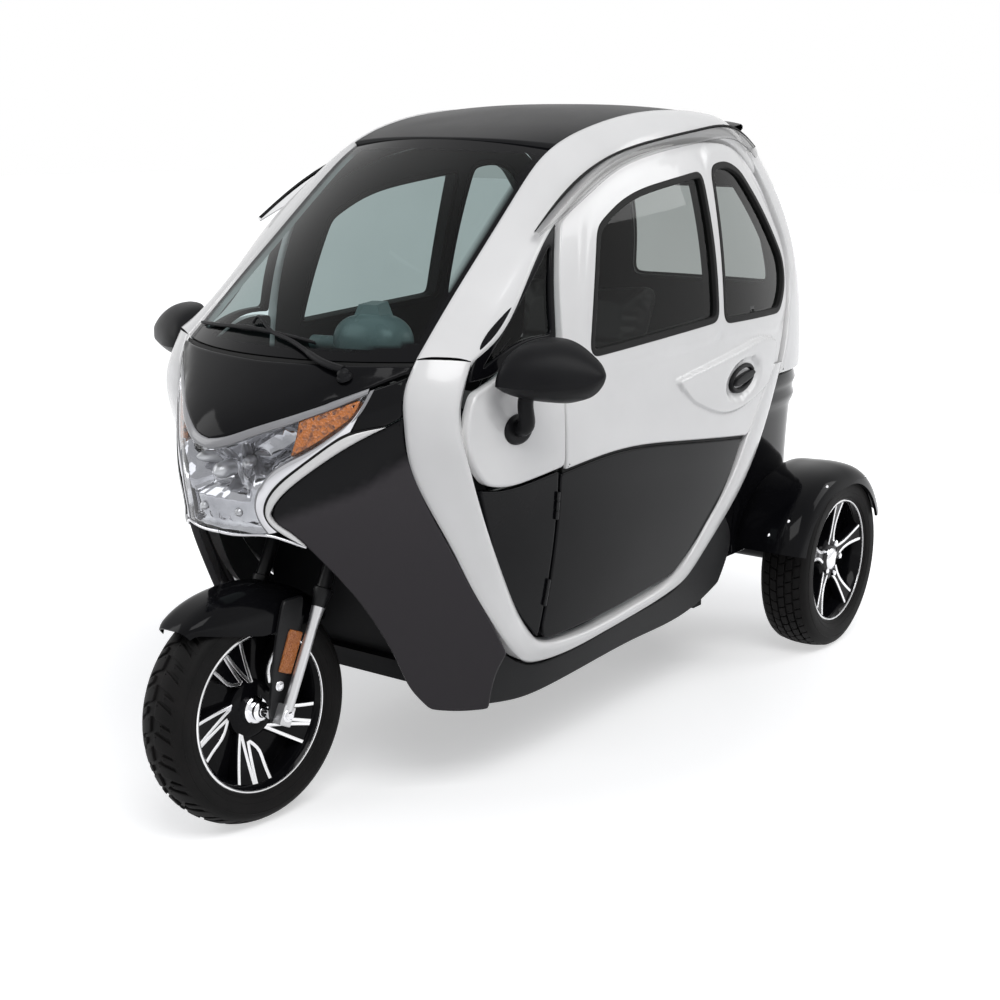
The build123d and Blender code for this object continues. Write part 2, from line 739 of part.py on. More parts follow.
with BuildPart() as tail_lamps:
    add(tail_wall(TAIL_UPPER, GLASS + 9))
    with BuildSketch(Plane.XZ.offset(-station(1400))):
        with Locations((TAIL_LAMP[0], TAIL_LAMP[1]), (-TAIL_LAMP[0], TAIL_LAMP[1])):
            RectangleRounded(TAIL_LAMP[2], TAIL_LAMP[3], 20)
    extrude(amount=-REACH, mode=Mode.INTERSECT)

SPOILER = ((262, 1470), (262, 1560), (0, 1668))

with BuildPart() as roof_spoiler:
    with BuildSketch(Plane.XY.offset(1366)):
        with BuildLine():
            Line((-SPOILER[0][0], station(SPOILER[0][1])), (SPOILER[0][0], station(SPOILER[0][1])))
            Line((SPOILER[0][0], station(SPOILER[0][1])), (SPOILER[1][0], station(SPOILER[1][1])))
            ThreePointArc(
                (SPOILER[1][0], station(SPOILER[1][1])), (0, station(SPOILER[2][1])),
                (-SPOILER[1][0], station(SPOILER[1][1])),
            )
            Line((-SPOILER[1][0], station(SPOILER[1][1])), (-SPOILER[0][0], station(SPOILER[0][1])))
        make_face()
    extrude(amount=34)
    add(both_frames.part, mode=Mode.SUBTRACT)
    add(roof_panel.part, mode=Mode.SUBTRACT)
    add(tail_upper.part, mode=Mode.SUBTRACT)

# Floor: a stepped pan on two rails, with the front bulkhead and shelf.
REAR_FLOOR_Z = FLOOR_Z + REAR_FLOOR_RISE
FLOOR_LINE = ((372, FLOOR_Z), (1330, FLOOR_Z), (1400, REAR_FLOOR_Z), (1785, REAR_FLOOR_Z))
RAIL_X = 205
RAIL_WIDTH = 46
RAIL_DEEP = 40

with BuildPart() as floor_pan:
    with BuildSketch(Plane.YZ):
        with BuildLine():
            Polyline(*side(FLOOR_LINE), *side([(s, z + FLOOR_THICK) for s, z in reversed(FLOOR_LINE)]), close=True)
        make_face()
    extrude(amount=FLOOR_HALF, both=True)
    for x in (-RAIL_X, RAIL_X):
        with BuildSketch(Plane.YZ.offset(x)):
            with BuildLine():
                Polyline(*side(FLOOR_LINE), *side([(s, z - RAIL_DEEP) for s, z in reversed(FLOOR_LINE)]), close=True)
            make_face()
        extrude(amount=RAIL_WIDTH / 2, both=True)
    for s in (420, 860, 1280):
        with BuildSketch(Plane.YZ):
            with Locations((station(s), FLOOR_Z - RAIL_DEEP / 2)):
                Rectangle(40, RAIL_DEEP)
        extrude(amount=FLOOR_HALF + 28, both=True)
    add(sill_skirts.part, mode=Mode.SUBTRACT)
    add(both_frames.part, mode=Mode.SUBTRACT)
    add(front_fairings.part, mode=Mode.SUBTRACT)
    add(tail_lower.part, mode=Mode.SUBTRACT)

BULKHEAD_S = 400
SHELF_Z = 840
SHELF_FRONT = 236
SHELF_HALF = 366
BULKHEAD_THICK = 12
COLUMN_SLOT = (150, 130)

with BuildPart() as front_bulkhead:
    with BuildSketch(Plane.YZ):
        with Locations((station(BULKHEAD_S) + BULKHEAD_THICK / 2, (FLOOR_Z + FLOOR_THICK + SHELF_Z) / 2)):
            Rectangle(BULKHEAD_THICK, SHELF_Z - FLOOR_Z - FLOOR_THICK)
    extrude(amount=FLOOR_HALF, both=True)
    with BuildSketch(Plane.XY.offset(SHELF_Z)):
        with Locations((0, station((SHELF_FRONT + BULKHEAD_S + BULKHEAD_THICK) / 2))):
            Rectangle(2 * SHELF_HALF, BULKHEAD_S + BULKHEAD_THICK - SHELF_FRONT)
        with Locations((0, station(BULKHEAD_S - 10 - COLUMN_SLOT[1] / 2))):
            RectangleRounded(*COLUMN_SLOT, 30, mode=Mode.SUBTRACT)
    extrude(amount=BULKHEAD_THICK)
    add(both_frames.part, mode=Mode.SUBTRACT)
    add(quarter_panels.part, mode=Mode.SUBTRACT)
    add(front_fairings.part, mode=Mode.SUBTRACT)

# Seats, with the battery under the driver's.
SEAT_S = 1060
SEAT_HALF = 205
SEAT_TOP = 480
SEAT_DEEP = 420
PLINTH_WALL = 12

with BuildPart() as seat_plinth:
    with BuildSketch(Plane.XY.offset(FLOOR_Z + FLOOR_THICK)):
        with Locations((0, station(SEAT_S))):
            Rectangle(2 * SEAT_HALF - 40, SEAT_DEEP)
    extrude(amount=SEAT_TOP - FLOOR_Z - FLOOR_THICK)
    with BuildSketch(Plane.XY.offset(FLOOR_Z + FLOOR_THICK)):
        with Locations((0, station(SEAT_S))):
            Rectangle(2 * (SEAT_HALF - 20 - PLINTH_WALL), SEAT_DEEP - 2 * PLINTH_WALL)
    extrude(amount=SEAT_TOP - FLOOR_Z - FLOOR_THICK - PLINTH_WALL, mode=Mode.SUBTRACT)

with BuildPart() as battery_pack:
    with BuildSketch(Plane.XY.offset(FLOOR_Z + FLOOR_THICK)):
        with Locations((0, station(SEAT_S))):
            Rectangle(2 * (SEAT_HALF - 40), SEAT_DEEP - 60)
    extrude(amount=190)

with BuildPart() as driver_cushion:
    with BuildSketch(Plane.XY.offset(SEAT_TOP)):
        with Locations((0, station(SEAT_S - 10))):
            RectangleRounded(2 * SEAT_HALF, SEAT_DEEP, 60)
    extrude(amount=90)
    fillet(driver_cushion.faces().sort_by(Axis.Z)[-1].edges(), 30)

BACK_LEAN = 14
BACK_LENGTH = 430
with BuildPart() as driver_back:
    with BuildSketch(Plane.YZ):
        with Locations(Location((station(SEAT_S + 150), SEAT_TOP + 90 + BACK_LENGTH / 2), -BACK_LEAN)):
            RectangleRounded(80, BACK_LENGTH + 30, 30)
    extrude(amount=SEAT_HALF - 10, both=True)
    fillet(driver_back.edges().filter_by(GeomType.CIRCLE, reverse=True).sort_by(Axis.Z)[-2:], 20)
    add(driver_cushion.part, mode=Mode.SUBTRACT)

BENCH_S = 1560
BENCH_HALF = 250
with BuildPart() as bench_cushion:
    with BuildSketch(Plane.XY.offset(REAR_FLOOR_Z + FLOOR_THICK)):
        with Locations((0, station(BENCH_S))):
            RectangleRounded(2 * BENCH_HALF, 300, 50)
    extrude(amount=90)
    fillet(bench_cushion.faces().sort_by(Axis.Z)[-1].edges(), 25)

with BuildPart() as bench_back:
    with BuildSketch(Plane.XY.offset(REAR_FLOOR_Z + FLOOR_THICK)):
        with Locations((0, station(BENCH_S + 190))):
            RectangleRounded(2 * BENCH_HALF - 20, 70, 25)
    extrude(amount=330)

# Wheels. Each turns about a line along X through its own centre.
FRONT_AXLE = (0, FRONT_AXLE_Y, FRONT_TYRE_R)
TYRE_SEAT_R = RIM_LIP_R - 8
BARREL_R = TYRE_SEAT_R - 12
FLANGE = 4
BEAD_SHARE = 0.39
FRONT_TREAD = ((0.36, 9), (0, 0), (-0.36, 9))
REAR_TREAD = ((0.36, 0), (-0.36, 0))
TYRE_TUCK = 5
SPOKE_PAIRS = 5
FRONT_HUB_R = 31
REAR_HUB_R = 44
AXLE_R = 10
STUB_R = 14
FORK_INNER = 72
REAR_WHEEL_X = REAR_TRACK / 2


def wheel_plane(centre):
    """Sketch plane through the wheel's centre: across the wheel, then up."""
    return Plane(origin=centre, x_dir=(1, 0, 0), z_dir=(0, -1, 0))


def tyre(centre, radius, width, tread):
    """Tyre on its seat: tucked in at the beads, widest half way up, with the tread's points across."""
    bead = width * BEAD_SHARE - TYRE_TUCK
    belly = (radius + RIM_LIP_R) / 2
    with BuildPart() as ring:
        with BuildSketch(wheel_plane(centre)):
            with BuildLine():
                Polyline(
                    (-bead, TYRE_SEAT_R), (bead, TYRE_SEAT_R), (width / 2, belly),
                    *[(width * share, radius - drop) for share, drop in tread],
                    (-width / 2, belly), close=True,
                )
            make_face()
        revolve(axis=Axis(centre, (1, 0, 0)))
    return ring.part


def rim(centre, width, hub_r, hub_ends, spoke_ends, bore_r, bore_end, splay):
    """Cast rim: barrel with lips, hub, and pairs of spokes that splay towards the rim."""
    bead = width * BEAD_SHARE
    with BuildPart() as cast:
        with BuildSketch(wheel_plane(centre)):
            with BuildLine():
                Polyline(
                    (-bead - FLANGE, BARREL_R), (bead + FLANGE, BARREL_R), (bead + FLANGE, RIM_LIP_R),
                    (bead, RIM_LIP_R), (bead, TYRE_SEAT_R), (-bead, TYRE_SEAT_R), (-bead, RIM_LIP_R),
                    (-bead - FLANGE, RIM_LIP_R), close=True,
                )
            make_face()
            with Locations((sum(hub_ends) / 2, hub_r / 2)):
                Rectangle(hub_ends[1] - hub_ends[0], hub_r)
        revolve(axis=Axis(centre, (1, 0, 0)))
        with BuildSketch(Plane.YZ.offset(centre[0] + spoke_ends[0])):
            for pair in range(SPOKE_PAIRS):
                for lean in (-1, 1):
                    mid = 90 + pair * 360 / SPOKE_PAIRS
                    foot = math.radians(mid + lean * splay * 0.9)
                    tip = math.radians(mid + lean * splay)
                    half = math.radians(lean * 4)
                    with BuildLine():
                        Polyline(*[
                            (centre[1] + r * math.cos(a), centre[2] + r * math.sin(a))
                            for r, a in (
                                (hub_r - 4, foot - 2.2 * half), (BARREL_R + 3, tip - half),
                                (BARREL_R + 3, tip + half), (hub_r - 4, foot + 2.2 * half),
                            )
                        ], close=True)
                    make_face()
        extrude(amount=spoke_ends[1] - spoke_ends[0])
        with BuildSketch(Plane.YZ.offset(centre[0] + hub_ends[0])):
            with Locations((centre[1], centre[2])):
                Circle(bore_r)
        extrude(amount=bore_end - hub_ends[0], mode=Mode.SUBTRACT)
    return cast.part


HUB_HALF = 42
DISC_X = -52

with BuildPart() as front_tyre:
    add(tyre(FRONT_AXLE, FRONT_TYRE_R, FRONT_TYRE_WIDTH, FRONT_TREAD))

with BuildPart() as front_rim:
    add(rim(FRONT_AXLE, FRONT_TYRE_WIDTH, FRONT_HUB_R, (DISC_X, HUB_HALF), (-10, 10), AXLE_R + FIT, HUB_HALF, 13))

with BuildPart() as brake_disc:
    with BuildSketch(Plane.YZ.offset(DISC_X - 4)):
        with Locations(FRONT_AXLE[1:]):
            Circle(98)
            Circle(AXLE_R + 8, mode=Mode.SUBTRACT)
        with Locations(FRONT_AXLE[1:]):
            with PolarLocations(50, 6):
                Circle(13, mode=Mode.SUBTRACT)
    extrude(amount=4)

REAR_HUB = (-REAR_TYRE_WIDTH / 2 + 8, 38)
REAR_BORE_END = 20

with BuildPart() as rear_tyre_left:
    add(tyre((REAR_WHEEL_X, REAR_AXLE_Y, REAR_TYRE_R), REAR_TYRE_R, REAR_TYRE_WIDTH, REAR_TREAD))

with BuildPart() as rear_rim_left:
    add(rim(
        (REAR_WHEEL_X, REAR_AXLE_Y, REAR_TYRE_R), REAR_TYRE_WIDTH, REAR_HUB_R, REAR_HUB, (14, 34),
        STUB_R + FIT, REAR_BORE_END, 11,
    ))

with BuildPart() as rear_tyre_right:
    add(mirror(rear_tyre_left.part, about=Plane.YZ))

with BuildPart() as rear_rim_right:
    add(mirror(rear_rim_left.part, about=Plane.YZ))

# Rear axle, springs and fenders.
AXLE_TUBE_R = 30
AXLE_END = REAR_WHEEL_X + REAR_HUB[0] - RUNNING_GAP
SPRING_SEAT = 38
SPRING_R = 34
SPRING_TURNS = 4
SPRING_AHEAD = 26

with BuildPart() as rear_axle:
    with BuildSketch(wheel_plane((0, REAR_AXLE_Y, REAR_TYRE_R))):
        with BuildLine():
            Polyline(
                (0, 0), (0, 82), (62, 82), (120, 46), (150, AXLE_TUBE_R), (AXLE_END, AXLE_TUBE_R),
                (AXLE_END, STUB_R), (REAR_WHEEL_X + REAR_BORE_END - 2, STUB_R),
                (REAR_WHEEL_X + REAR_BORE_END - 2, 0), close=True,
            )
        make_face()
    revolve(axis=Axis((0, REAR_AXLE_Y, REAR_TYRE_R), (1, 0, 0)))
    with BuildSketch(Plane.XY.offset(REAR_TYRE_R)):
        with Locations((RAIL_X, REAR_AXLE_Y - SPRING_AHEAD / 2)):
            Rectangle(60, 60 + SPRING_AHEAD)
    extrude(amount=SPRING_SEAT)
    mirror(about=Plane.YZ)

SPRING_FOOT = REAR_TYRE_R + SPRING_SEAT
SPRING_HEAD = REAR_FLOOR_Z - RAIL_DEEP
SPRING_Y = REAR_AXLE_Y - SPRING_AHEAD

with BuildPart() as rear_springs:
    pitch = (SPRING_HEAD - SPRING_FOOT) / SPRING_TURNS
    with BuildSketch(Plane.XZ.offset(-SPRING_Y)):
        with BuildLine():
            Polyline(
                (RAIL_X, SPRING_FOOT), (RAIL_X + SPRING_R - 10, SPRING_FOOT),
                *[
                    (RAIL_X + SPRING_R - dent, SPRING_FOOT + (turn + share) * pitch)
                    for turn in range(SPRING_TURNS)
                    for dent, share in ((0, 0.5), (10, 1))
                ],
                (RAIL_X, SPRING_HEAD), close=True,
            )
        make_face()
    revolve(axis=Axis((RAIL_X, SPRING_Y, 0), (0, 0, 1)))
    mirror(about=Plane.YZ)

FENDER_INNER_X = 320
FENDER_OUTER_X = REAR_WHEEL_X + REAR_TYRE_WIDTH / 2 + 14
FENDER_LIP = 8
FENDER_ROUND = 22
ARCH_R = REAR_TYRE_R + 12
FENDER_TAIL = (ARCH_R - 14, 112)
FENDER_CREST = (-13, ARCH_R + 12)
FENDER_NOSE = (-ARCH_R - 84, 88)

with BuildPart() as rear_fenders:
    hub_plane = Plane((0, REAR_AXLE_Y, REAR_TYRE_R), x_dir=(0, 1, 0), z_dir=(1, 0, 0))
    with BuildSketch(hub_plane.offset(FENDER_INNER_X)):
        with BuildLine():
            ThreePointArc(FENDER_TAIL, FENDER_CREST, FENDER_NOSE)
            Line(FENDER_NOSE, (-200, 60))
            Line((-200, 60), (FENDER_TAIL[0] - 30, 92))
            Line((FENDER_TAIL[0] - 30, 92), FENDER_TAIL)
        make_face()
    extrude(amount=FENDER_OUTER_X - FENDER_INNER_X)
    fillet(rear_fenders.edges().filter_by(GeomType.CIRCLE).sort_by(Axis.X)[-1], FENDER_ROUND)
    with BuildSketch(hub_plane.offset(FENDER_INNER_X)):
        Circle(ARCH_R)
    extrude(amount=FENDER_OUTER_X - FENDER_INNER_X - FENDER_LIP, mode=Mode.SUBTRACT)
    with BuildSketch(hub_plane.offset(FENDER_INNER_X)):
        Circle(ARCH_R - 34)
    extrude(amount=FENDER_OUTER_X - FENDER_INNER_X, mode=Mode.SUBTRACT)
    mirror(about=Plane.YZ)
    add(tail_lower.part, mode=Mode.SUBTRACT)

# Steering group, drawn straight ahead and then turned to where it rests.
LEAN = math.radians(RAKE)
STEER = Plane(FRONT_AXLE, x_dir=(1, 0, 0), z_dir=(0, math.sin(LEAN), math.cos(LEAN)))
LEG_X = 88
LEG_WIDTH = 2 * (LEG_X - FORK_INNER)
LEG_DEEP = 44
CROWN_AT = 400
CROWN_THICK = 24
COLUMN_R = 18
COLUMN_TOP = 800
BAR_BACK = 70
BAR_HALF = 240
DAMPER_R = 15
DAMPER_BACK = 40

with BuildPart() as fork_legs:
    with BuildSketch(STEER.offset(-24)):
        with Locations((LEG_X, 0), (-LEG_X, 0)):
            RectangleRounded(LEG_WIDTH, LEG_DEEP, 6)
    extrude(amount=CROWN_AT + 24)

with BuildPart() as fork_dampers:
    with BuildSketch(STEER.offset(8)):
        with Locations((LEG_X, DAMPER_BACK), (-LEG_X, DAMPER_BACK)):
            Circle(DAMPER_R)
    extrude(amount=CROWN_AT - 8)
    with BuildSketch(STEER.offset(8)):
        with Locations((LEG_X, (LEG_DEEP / 2 + DAMPER_BACK) / 2), (-LEG_X, (LEG_DEEP / 2 + DAMPER_BACK) / 2)):
            Rectangle(18, DAMPER_BACK - LEG_DEEP / 2)
    extrude(amount=30)

with BuildPart() as steering_column:
    with BuildSketch(STEER.offset(CROWN_AT)):
        with Locations((0, 16)):
            RectangleRounded(2 * LEG_X + 44, 88, 20)
    extrude(amount=CROWN_THICK)
    with BuildSketch(STEER.offset(CROWN_AT + CROWN_THICK)):
        with Locations((0, FORK_OFFSET)):
            Circle(COLUMN_R)
    extrude(amount=COLUMN_TOP - CROWN_AT - CROWN_THICK)

HEAD_SPAN = (440, 560)
HEAD_R = 30

with BuildPart() as steering_head:
    with BuildSketch(STEER.offset(HEAD_SPAN[0])):
        with Locations((0, FORK_OFFSET)):
            Circle(HEAD_R)
    extrude(amount=HEAD_SPAN[1] - HEAD_SPAN[0])
    low = STEER.from_local_coords(Vector(0, FORK_OFFSET, HEAD_SPAN[0] + 20))
    high = STEER.from_local_coords(Vector(0, FORK_OFFSET, HEAD_SPAN[1] - 20))
    with BuildSketch(Plane.YZ):
        with BuildLine():
            Polyline(
                (low.Y, low.Z), (high.Y, high.Z), (station(BULKHEAD_S), high.Z),
                (station(BULKHEAD_S), low.Z - 40), close=True,
            )
        make_face()
    extrude(amount=22, both=True)
    with BuildSketch(STEER.offset(HEAD_SPAN[0])):
        with Locations((0, FORK_OFFSET)):
            Circle(COLUMN_R + FIT)
    extrude(amount=HEAD_SPAN[1] - HEAD_SPAN[0], mode=Mode.SUBTRACT)

with BuildPart() as handlebar:
    with BuildSketch(STEER.offset(COLUMN_TOP)):
        with Locations((0, FORK_OFFSET + BAR_BACK / 2 - 4)):
            RectangleRounded(50, BAR_BACK + 30, 12)
    extrude(amount=26)
    bar_centre = STEER.from_local_coords(Vector(0, FORK_OFFSET + BAR_BACK, COLUMN_TOP + 13))
    with BuildSketch(Plane(bar_centre - Vector(BAR_HALF, 0, 0), z_dir=(1, 0, 0))):
        Circle(11)
    extrude(amount=2 * BAR_HALF)
    for x in (-BAR_HALF, BAR_HALF - 110):
        with BuildSketch(Plane(bar_centre + Vector(x, 0, 0), z_dir=(1, 0, 0))):
            Circle(17)
        extrude(amount=110)

with BuildPart() as instrument_pod:
    with BuildSketch(STEER.offset(COLUMN_TOP + 26)):
        with Locations((0, FORK_OFFSET + 6)):
            RectangleRounded(210, 116, 40)
    extrude(amount=44, taper=14)

with BuildPart() as front_axle:
    with BuildSketch(Plane.YZ.offset(-FORK_INNER)):
        with Locations(FRONT_AXLE[1:]):
            Circle(AXLE_R)
    extrude(amount=2 * FORK_INNER)

with BuildPart() as brake_caliper:
    with BuildSketch(STEER.offset(66)):
        with Locations((-FORK_INNER + 17, 2)):
            Rectangle(34, 40)
    extrude(amount=46)
    with BuildSketch(STEER.offset(66)):
        with Locations((DISC_X - 2, 2)):
            Rectangle(16, 60)
    extrude(amount=37, mode=Mode.SUBTRACT)

MUDGUARD_R = FRONT_TYRE_R + 12
MUDGUARD_REAR = 27
MUDGUARD_FRONT = 126
MUDGUARD_WALL = 5

with BuildPart() as front_mudguard:
    start = math.radians(MUDGUARD_REAR)
    sector = Plane(FRONT_AXLE, x_dir=(1, 0, 0), z_dir=(0, -math.sin(start), math.cos(start)))
    with BuildSketch(sector):
        with BuildLine():
            Line((-FORK_INNER, MUDGUARD_R - 46), (-FORK_INNER, MUDGUARD_R - 14))
            ThreePointArc((-FORK_INNER, MUDGUARD_R - 14), (0, MUDGUARD_R + 12), (FORK_INNER, MUDGUARD_R - 14))
            Line((FORK_INNER, MUDGUARD_R - 14), (FORK_INNER, MUDGUARD_R - 46))
            Line((FORK_INNER, MUDGUARD_R - 46), (FORK_INNER - MUDGUARD_WALL, MUDGUARD_R - 46))
            Line((FORK_INNER - MUDGUARD_WALL, MUDGUARD_R - 46), (FORK_INNER - MUDGUARD_WALL, MUDGUARD_R - 16))
            ThreePointArc(
                (FORK_INNER - MUDGUARD_WALL, MUDGUARD_R - 16), (0, MUDGUARD_R + 6),
                (MUDGUARD_WALL - FORK_INNER, MUDGUARD_R - 16),
            )
            Line((MUDGUARD_WALL - FORK_INNER, MUDGUARD_R - 16), (MUDGUARD_WALL - FORK_INNER, MUDGUARD_R - 46))
            Line((MUDGUARD_WALL - FORK_INNER, MUDGUARD_R - 46), (-FORK_INNER, MUDGUARD_R - 46))
        make_face()
    revolve(axis=Axis(FRONT_AXLE, (1, 0, 0)), revolution_arc=MUDGUARD_FRONT - MUDGUARD_REAR)

# Rain visors over the doors, and the wiper at rest along the windscreen's foot.
VISOR_PROUD = 9
VISOR_EDGE = (10, 34)
VISOR_FOOT = 1196

with BuildPart() as visor_blank:
    add(side_wall(-VISOR_PROUD, VISOR_PROUD + 20))
    with BuildSketch(Plane.YZ):
        make_face(door_outline())
        offset(amount=VISOR_EDGE[1])
    extrude(amount=REACH, mode=Mode.INTERSECT)
    with BuildSketch(Plane.YZ):
        make_face(door_outline())
        offset(amount=VISOR_EDGE[0])
        with Locations((station(1000), VISOR_FOOT / 2)):
            Rectangle(REACH * 2, VISOR_FOOT)
    extrude(amount=REACH, mode=Mode.SUBTRACT)
    mirror(about=Plane.YZ)
    add(both_frames.part, mode=Mode.SUBTRACT)
    add(tail_upper.part, mode=Mode.SUBTRACT)
    add(roof_panel.part, mode=Mode.SUBTRACT)

with BuildPart() as rain_visors:
    add(without_scraps(visor_blank.part))

WIPER_R = 4
WIPER_RUNS = (
    # start and end half width, station, height
    ((190, 66, 938), (20, 66, 957)),
    ((20, 66, 957), (-150, 136, 977)),
    ((-280, 156, 962), (-45, 122, 988)),
)

with BuildPart() as wiper:
    for start, end in WIPER_RUNS:
        a = Vector(start[0], station(start[1]), start[2])
        b = Vector(end[0], station(end[1]), end[2])
        with BuildSketch(Plane(a, z_dir=b - a)):
            Circle(WIPER_R)
        extrude(amount=(b - a).length)
    with BuildSketch(Plane.XY.offset(912)):
        with Locations((WIPER_RUNS[0][0][0], station(WIPER_RUNS[0][0][1] + 4))):
            Circle(11)
    extrude(amount=32)
    add(nose_panel.part, mode=Mode.SUBTRACT)

STEER_AXIS = Axis(STEER.from_local_coords(Vector(0, FORK_OFFSET, 0)), STEER.z_dir)
STEERED = {
    "fork_legs": fork_legs,
    "fork_dampers": fork_dampers,
    "steering_column": steering_column,
    "handlebar": handlebar,
    "instrument_pod": instrument_pod,
    "front_axle": front_axle,
    "brake_caliper": brake_caliper,
    "front_mudguard": front_mudguard,
    "front_tyre": front_tyre,
    "front_rim": front_rim,
    "brake_disc": brake_disc,
}
FIXED = {
    "side_frame_left": side_frame_left,
    "side_frame_right": side_frame_right,
    "door_left_upper": door_left_upper,
    "door_left_lower": door_left_lower,
    "door_left_glass": door_left_glass,
    "door_left_handle": door_left_handle,
    "door_right_upper": door_right_upper,
    "door_right_lower": door_right_lower,
    "door_right_glass": door_right_glass,
    "door_right_handle": door_right_handle,
    "quarter_panels": quarter_panels,
    "quarter_skirts": quarter_skirts,
    "quarter_glass": quarter_glass,
    "door_hinge_pins": door_hinge_pins,
    "mirrors": mirrors,
    "nose_panel": nose_panel,
    "headlamp_lens": headlamp_lens,
    "headlamp_bowl": headlamp_bowl,
    "headlamp_trims": headlamp_trims,
    "indicator_lenses": indicator_lenses,
    "front_fairings": front_fairings,
    "sill_skirts": sill_skirts,
    "roof_panel": roof_panel,
    "roof_spoiler": roof_spoiler,
    "windscreen": windscreen,
    "rain_visors": rain_visors,
    "wiper": wiper,
    "tail_upper": tail_upper,
    "tail_lower": tail_lower,
    "rear_window": rear_window,
    "tail_lamps": tail_lamps,
    "floor_pan": floor_pan,
    "front_bulkhead": front_bulkhead,
    "steering_head": steering_head,
    "seat_plinth": seat_plinth,
    "battery_pack": battery_pack,
    "driver_cushion": driver_cushion,
    "driver_back": driver_back,
    "bench_cushion": bench_cushion,
    "bench_back": bench_back,
    "rear_axle": rear_axle,
    "rear_springs": rear_springs,
    "rear_fenders": rear_fenders,
    "rear_tyre_left": rear_tyre_left,
    "rear_rim_left": rear_rim_left,
    "rear_tyre_right": rear_tyre_right,
    "rear_rim_right": rear_rim_right,
}

for name, piece in FIXED.items():
    piece.part.label = name
    export_step(piece.part, f"parts/{name}.step")

for name, piece in STEERED.items():
    turned = piece.part.rotate(STEER_AXIS, STEER_AT_REST)
    turned.label = name
    export_step(turned, f"parts/{name}.step")
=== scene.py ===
"""Looks of the enclosed electric tricycle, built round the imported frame.

Outlines are in millimetres: x is the half width, s the station rearwards from the front axle, z the height.
Shapes hold points as (x, s, z), and made() turns them into metres in the frame.
"""

import json
import math

import bpy
import numpy as np
from mathutils import Matrix, Vector
from mathutils.geometry import delaunay_2d_cdt


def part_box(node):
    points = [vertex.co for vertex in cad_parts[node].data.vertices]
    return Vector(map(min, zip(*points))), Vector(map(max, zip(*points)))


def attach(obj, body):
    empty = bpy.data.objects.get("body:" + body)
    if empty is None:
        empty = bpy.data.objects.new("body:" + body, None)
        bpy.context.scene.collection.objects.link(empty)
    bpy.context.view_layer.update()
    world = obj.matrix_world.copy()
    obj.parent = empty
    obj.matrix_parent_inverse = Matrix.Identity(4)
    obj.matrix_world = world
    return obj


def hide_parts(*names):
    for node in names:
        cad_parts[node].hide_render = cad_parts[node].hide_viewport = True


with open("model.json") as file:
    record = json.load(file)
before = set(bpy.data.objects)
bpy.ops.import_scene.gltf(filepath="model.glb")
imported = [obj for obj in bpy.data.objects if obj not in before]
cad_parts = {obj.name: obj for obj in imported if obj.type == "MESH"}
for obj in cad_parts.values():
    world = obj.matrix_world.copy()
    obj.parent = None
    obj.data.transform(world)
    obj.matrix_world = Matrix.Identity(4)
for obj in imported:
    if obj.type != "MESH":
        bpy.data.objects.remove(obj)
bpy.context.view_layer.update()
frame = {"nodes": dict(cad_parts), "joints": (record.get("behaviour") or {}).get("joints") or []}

MM = 0.001
WHEELBASE = 1760
REAR_LOW, REAR_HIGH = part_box("rear_tyre_left")
REAR_AXLE_Y = (REAR_LOW[1] + REAR_HIGH[1]) / 2 / MM
FRONT_AXLE_Y = REAR_AXLE_Y - WHEELBASE
REAR_WHEEL_X = (REAR_LOW[0] + REAR_HIGH[0]) / 2 / MM
REAR_TYRE_R = (REAR_HIGH[2] - REAR_LOW[2]) / 2 / MM
JOINTS = {joint["name"]: joint for joint in frame["joints"]}


# Curves

def through(knots, values, places):
    """Natural cubic through values at the knots, read at the places; one column serves all the places."""
    knots = np.asarray(knots, float)
    places = np.atleast_1d(np.asarray(places, float))
    values = np.asarray(values, float).reshape(len(knots), -1)
    values = np.broadcast_to(values, (len(knots), len(places)))
    gap = np.diff(knots)
    system = np.eye(len(knots))
    pull = np.zeros_like(values)
    for i in range(1, len(knots) - 1):
        system[i, i - 1:i + 2] = gap[i - 1], 2 * (gap[i - 1] + gap[i]), gap[i]
        pull[i] = 6 * ((values[i + 1] - values[i]) / gap[i] - (values[i] - values[i - 1]) / gap[i - 1])
    bend = np.linalg.solve(system, pull)
    held = np.clip(places, knots[0], knots[-1])
    i = np.clip(np.searchsorted(knots, held) - 1, 0, len(knots) - 2)
    col = np.arange(len(places))
    low, high, h = held - knots[i], knots[i + 1] - held, gap[i]
    result = (bend[i + 1, col] * low**3 + bend[i, col] * high**3) / (6 * h)
    result += (values[i, col] / h - bend[i, col] * h / 6) * high
    result += (values[i + 1, col] / h - bend[i + 1, col] * h / 6) * low
    first = (values[1] - values[0]) / gap[0] - bend[1] * gap[0] / 6
    last = (values[-1] - values[-2]) / gap[-1] + bend[-2] * gap[-1] / 6
    return result + np.minimum(places - knots[0], 0) * first + np.maximum(places - knots[-1], 0) * last


def run(points, step=8, count=None):
    """Smooth curve through the points, in even steps."""
    p = np.asarray(points, float)
    t = np.concatenate([[0], np.cumsum(np.linalg.norm(np.diff(p, axis=0), axis=1))])
    count = count or max(int(round(t[-1] / step)), 1) + 1
    return np.stack([through(t, p[:, k], np.linspace(0, t[-1], count)) for k in range(p.shape[1])], 1)


def resampled(loop, step):
    """A closed loop with its points in even steps."""
    closed = np.vstack([loop, loop[:1]])
    t = np.concatenate([[0], np.cumsum(np.linalg.norm(np.diff(closed, axis=0), axis=1))])
    count = max(int(round(t[-1] / step)), 8)
    places = np.linspace(0, t[-1], count, endpoint=False)
    return np.stack([np.interp(places, t, closed[:, k]) for k in range(loop.shape[1])], 1)


def anticlockwise(loop):
    """The loop itself, or turned round where it runs clockwise."""
    ahead = np.roll(loop, -1, axis=0)
    area = np.sum(loop[:, 0] * ahead[:, 1] - ahead[:, 0] * loop[:, 1])
    return loop if area > 0 else loop[::-1].copy()


